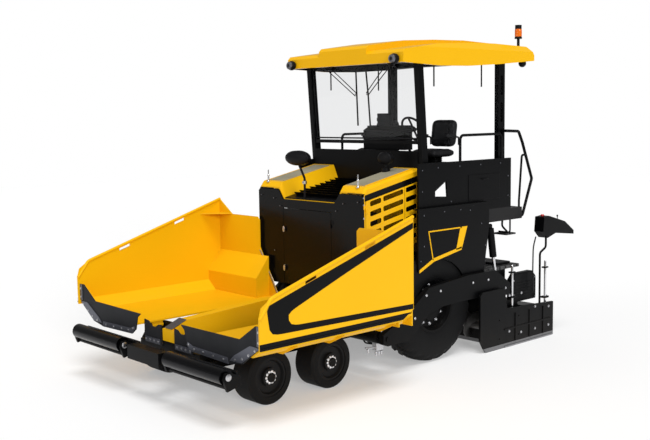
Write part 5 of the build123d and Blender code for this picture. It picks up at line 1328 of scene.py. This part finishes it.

# %% [markdown]
# A control desk on each side lets the crew steer the screed. It gets a keypad, a red stop knob and a
# joystick. A cable runs down its post.

# %% Control desks
red, tree, shader = finish("stop_knob_red", (0.6, 0.012, 0.01, 1), 0.3)
skin = use(tree, grain, Scale=300.0, Depth=0.0001)
join(tree, blend_colour(tree, skin["Value"], (0.5, 0.01, 0.008, 1), (0.75, 0.02, 0.015, 1)), shader.inputs["Base Color"])
join(tree, skin["Normal"], shader.inputs["Normal"])
key_grey = moulded("keypad_grey", (0.10, 0.10, 0.105, 1), 0.5, 300.0, 0.0002, 0.0)
DESK_Y = (edge("control_panel_left", 1, 0) + edge("control_panel_left", 1, 1)) / 2
for side, sign in (("left", 1), ("right", -1)):
    body = f"extension_{side}"
    slope = (1.59 - 1.50) / (-1.94 + 2.41)
    knob = turned([(0.0, 0.0), (0.012, 0.0), (0.012, 0.016), (0.022, 0.018), (0.024, 0.026), (0.018, 0.034), (0.0, 0.036)],
                  (-2.00, sign * DESK_Y, 1.585), axis="z", sides=28)
    add_piece(f"stop_knob_{side}", knob, red, body)
    keys = []
    for i in range(4):
        for j in (-1, 0, 1):
            x = -2.09 - 0.055 * i
            z = 1.560 - 0.055 * i * slope
            keys.append(turned([(0.0, 0.0), (0.013, 0.0), (0.013, 0.010), (0.009, 0.014), (0.0, 0.014)],
                               (x, sign * DESK_Y + 0.038 * j, z), axis="z", sides=16))
    add_piece(f"desk_keys_{side}", together(*keys), key_grey, body)
    stick = turned([(0.0, 0.0), (0.016, 0.0), (0.018, 0.008), (0.006, 0.018), (0.005, 0.050), (0.011, 0.058), (0.011, 0.074),
                    (0.0, 0.080)], (-2.34, sign * DESK_Y, 1.508), axis="z", sides=20)
    add_piece(f"desk_stick_{side}", stick, plastic, body)
    cable = rounded_path([(-1.90, sign * (DESK_Y - 0.03), 1.33), (-1.845, sign * (DESK_Y - 0.03), 1.20),
                          (-1.838, sign * (DESK_Y - 0.03), 0.90), (-1.845, sign * (DESK_Y - 0.03), 0.62)], 0.06)
    add_piece(f"desk_cable_{side}", tube(cable, 0.009, 12), wiper_black, body)
print("desks at y", round(DESK_Y, 3))

# %% [markdown]
# Hydraulic hoses feed the screed and the tow point. Each is a swept circle with a bright crimped ferrule at
# both ends. They are fixed pipework here, laid along the frame.

# %% Hoses and fittings
def hose(path, radius):
    """A rubber tube along path with a ferrule at each end."""
    path = np.asarray(path)
    rubber = tube(path, radius, 14)
    ferrules = []
    for end, inner in ((0, 3), (-1, -4)):
        start, stop = path[end], path[end] + (path[inner] - path[end]) / max(np.linalg.norm(path[inner] - path[end]), 1e-6) * 0.05
        share = np.linspace(0, 1, 5)[:, None]
        ferrules.append(tube(start + (stop - start) * share, radius * 1.35, 8))
    return rubber, ferrules


top = edge("screed_walkway", 2, 1)
for side, sign in (("left", 1), ("right", -1)):
    runs, ends = [], []
    for number, y in enumerate((0.30, 0.36, 0.42)):
        path = rounded_path([(-1.16, sign * y, top + 0.004), (-1.16, sign * y, top + 0.10), (-1.34 - 0.05 * number, sign * y, top + 0.12),
                             (-1.40 - 0.05 * number, sign * (y + 0.12), top + 0.05), (-1.40 - 0.05 * number, sign * (y + 0.12), top + 0.004)],
                            0.05)
        rubber, ferrules = hose(path, 0.010)
        runs.append(rubber)
        ends += ferrules
    add_piece(f"screed_hoses_{side}", together(*runs), wiper_black, "screed")
    add_piece(f"hose_ends_{side}", together(*ends), zinc, "screed")
    valve = together(*[turned([(0.0, 0.0), (0.030, 0.0), (0.034, 0.01), (0.034, 0.05), (0.020, 0.06), (0.020, 0.09), (0.0, 0.092)],
                              (x, sign * 0.70, top - 0.002), axis="z", sides=24) for x in (-1.20, -1.30, -1.40)])
    add_piece(f"valve_caps_{side}", valve, steel, "screed")
    lid = box(-1.72, -1.44, 0.44 if sign > 0 else -0.90, 0.90 if sign > 0 else -0.44, top - 0.002, top + 0.034)
    add_piece(f"gas_box_lid_{side}", lid, screed_black, "screed", smooth=0, bevel=0.010)
arm_out = edge("tow_arms", 1, 1)
for side, sign in (("left", 1), ("right", -1)):
    places = [(x, sign * 1.215, z) for x, z in ((0.50, 0.62), (0.30, 0.86), (0.05, 0.88), (-0.55, 0.90), (-0.85, 0.90), (-1.20, 0.75))]
    add_piece(f"arm_bolts_{side}", bolts(places, radius=0.013, high=0.010, axis="y", sign=sign), zinc, "screed")
print("walkway top", round(top, 3), "arm outside", round(arm_out, 3))

# %% [markdown]
# Bright guide poles and brackets stand on the extensions, and the hydraulic block of the tow
# point hangs under the hopper. All are small assemblies of slabs and turned shapes.

# %% Poles, brackets and valve blocks
valve_alloy = metal("valve_block_alloy", (0.80, 0.80, 0.83, 1), 0.5, dusty=0.05)
for side, sign in (("left", 1), ("right", -1)):
    body = f"extension_{side}"
    poles, brackets, caps = [], [], []
    for x, low, high in ((-1.350, 0.50, 1.02), (-2.070, 0.40, 1.00)):
        poles.append(turned([(0.0, low), (0.016, low), (0.016, high - 0.02), (0.012, high), (0.0, high)], (x, sign * 1.205, 0),
                            axis="z", sides=24))
        brackets.append(slab([(x - 0.05, sign * 1.17), (x + 0.05, sign * 1.17), (x + 0.05, sign * 1.235),
                              (x - 0.05, sign * 1.235)], low + 0.10, low + 0.125, "xy"))
        brackets.append(slab([(x - 0.04, sign * 1.175), (x + 0.04, sign * 1.175), (x + 0.04, sign * 1.23),
                              (x - 0.04, sign * 1.23)], high - 0.10, high - 0.08, "xy"))
        caps.append((x + 0.032, sign * 1.205, low + 0.125))
        caps.append((x - 0.032, sign * 1.205, low + 0.125))
    add_piece(f"guide_poles_{side}", together(*poles), chrome, body)
    add_piece(f"pole_brackets_{side}", together(*brackets), screed_black, body, smooth=0, bevel=0.003)
    add_piece(f"bracket_bolts_{side}", bolts(caps, radius=0.010, high=0.010, axis="z"), zinc, body)
    cover = slab([(-1.46, 0.50), (-1.98, 0.50), (-1.98, 0.80), (-1.90, 0.88), (-1.54, 0.88), (-1.46, 0.80)], 1.035, 1.125)
    add_piece(f"heater_cover_{side}", cover if sign > 0 else mirror_y(cover), cab_black, body, smooth=0,
              bevel=0.012)
    grille = together(*[slab([(-1.52, z), (-1.92, z), (-1.92, z + 0.012), (-1.52, z + 0.012)], 1.122, 1.131)
                        for z in (0.58, 0.62, 0.66, 0.70, 0.74)])
    add_piece(f"cover_ribs_{side}", grille if sign > 0 else mirror_y(grille), screed_black, body, smooth=0,
              bevel=0.002)
    places = [(x, sign * 1.125, z) for x, z in ((-1.49, 0.53), (-1.95, 0.53), (-1.49, 0.79), (-1.95, 0.79))]
    add_piece(f"cover_bolts_{side}", bolts(places, radius=0.009, high=0.007, axis="y", sign=sign), zinc, body)
    fitting = [(0.0, 0.0), (0.016, 0.0), (0.016, 0.014), (0.011, 0.018), (0.011, 0.042), (0.0, 0.044)]
    block_mesh = box(0.80, 0.915, sign * 0.965 - 0.035, sign * 0.965 + 0.035, 0.275, 0.40)
    add_piece(f"valve_block_{side}", block_mesh, valve_alloy, "machine", smooth=35, bevel=0.004)
    spots = [(0.80 + 0.045 * k, sign * 0.965, 0.255) for k in (0, 1, 2)] + [(1.02, sign * 0.965, 0.31)]
    couplings = together(*[turned([(r, -z) for r, z in fitting], spot, axis="z", sides=20) for spot in spots],
                         tube([(0.78, sign * 0.965, 0.29), (1.06, sign * 0.965, 0.33)], 0.009, 12))
    add_piece(f"valve_couplings_{side}", couplings, valve_alloy, "machine", smooth=35)
    stay = slab([(0.82, 0.565 * sign), (0.90, 0.565 * sign), (0.90, 1.0 * sign), (0.82, 1.0 * sign)], 0.398, 0.412, "xy")
    add_piece(f"valve_stay_{side}", stay, dark_frame, "machine", smooth=0, bevel=0.003)
    runs = [tube(rounded_path([(x, sign * 0.935, 0.34), (x, sign * 0.84, 0.33), (x - 0.08, sign * 0.70, 0.30),
                               (x - 0.12, sign * 0.575, 0.38)], 0.05), 0.010, 12) for x in (0.83, 0.88)]
    add_piece(f"tow_hoses_{side}", together(*runs), wiper_black, "machine")
    links = [tube(rounded_path([(-1.45, sign * 0.98, 1.735), (-1.43, sign * 0.98, 1.50), (-1.56, sign * 0.98, 1.40),
                                (-1.70, sign * 0.98, 1.38)], 0.03), 0.013, 12),
             tube(rounded_path([(-1.60, sign * 0.98, 1.60), (-1.60, sign * 0.98, 1.40), (-1.60, sign * 0.80, 1.40)], 0.03),
                  0.011, 12)]
    add_piece(f"step_links_{side}", together(*links), dark_frame, "machine")
    tread = slab([(-1.50, sign * 0.78), (-1.70, sign * 0.78), (-1.70, sign * 1.0), (-1.50, sign * 1.0)], 1.372, 1.392, "xy")
    add_piece(f"rear_step_{side}", tread, plate_black, "machine", smooth=0, bevel=0.004)
print("screed and tow fittings")

# %% [markdown]
# ## Floor, background and light
# The machine stands on a plain white floor with a soft shadow. The background is white because the world is
# white to the camera and to rays through glass; the light that falls on the machine is weaker, and most of
# it comes from three large soft lamps, the strongest nearly overhead, so the shadow lies under the machine.
# The paper glows a little of its own, which keeps that shadow soft.

# %% Floor, world and lamps
floor_points = np.array([(x, y, 0.0) for x, y in ((-30, -30), (30, -30), (30, 30), (-30, 30))])
floor_data = bpy.data.meshes.new("studio_floor")
floor_data.from_pydata(floor_points.tolist(), [], [(0, 1, 2, 3)])
floor = bpy.data.objects.new("studio_floor", floor_data)
scene.collection.objects.link(floor)
floor_paper, tree, shader = finish("studio_paper", (0.62, 0.62, 0.62, 1), 0.95, Emission_Color=(1, 1, 1, 1),
                                   Emission_Strength=0.34)
floor_data.materials.append(floor_paper)
world = bpy.data.worlds.new("soft_studio")
scene.world = world
world.use_nodes = True
tree = world.node_tree
sky = tree.nodes["Background"]
rays = node(tree, "LightPath")
seen = calc(tree, "MAXIMUM", rays.outputs["Is Camera Ray"], rays.outputs["Is Transmission Ray"])
join(tree, blend_value(tree, seen, 0.30, 1.0), sky.inputs["Strength"])
sky.inputs["Color"].default_value = (1, 1, 1, 1)


def soft_lamp(name, kind, place, target, power, size):
    data = bpy.data.lights.new(name, kind)
    data.energy = power
    if kind == "SUN":
        data.angle = size
    else:
        data.size = size
    lamp = bpy.data.objects.new(name, data)
    scene.collection.objects.link(lamp)
    lamp.location = place
    lamp.rotation_euler = (Vector(target) - Vector(place)).to_track_quat("-Z", "Y").to_euler()
    return lamp


soft_lamp("top_light", "SUN", (2, 4, 12), (0, 0, 0), 2.0, 0.5)
soft_lamp("side_light", "SUN", (4, 9, 3), (0, 0, 0), 1.5, 0.35)
soft_lamp("front_light", "SUN", (10, -4, 3), (0, 0, 0), 0.5, 0.6)
scene.view_settings.view_transform = "Standard"
print("floor, world and three lamps")
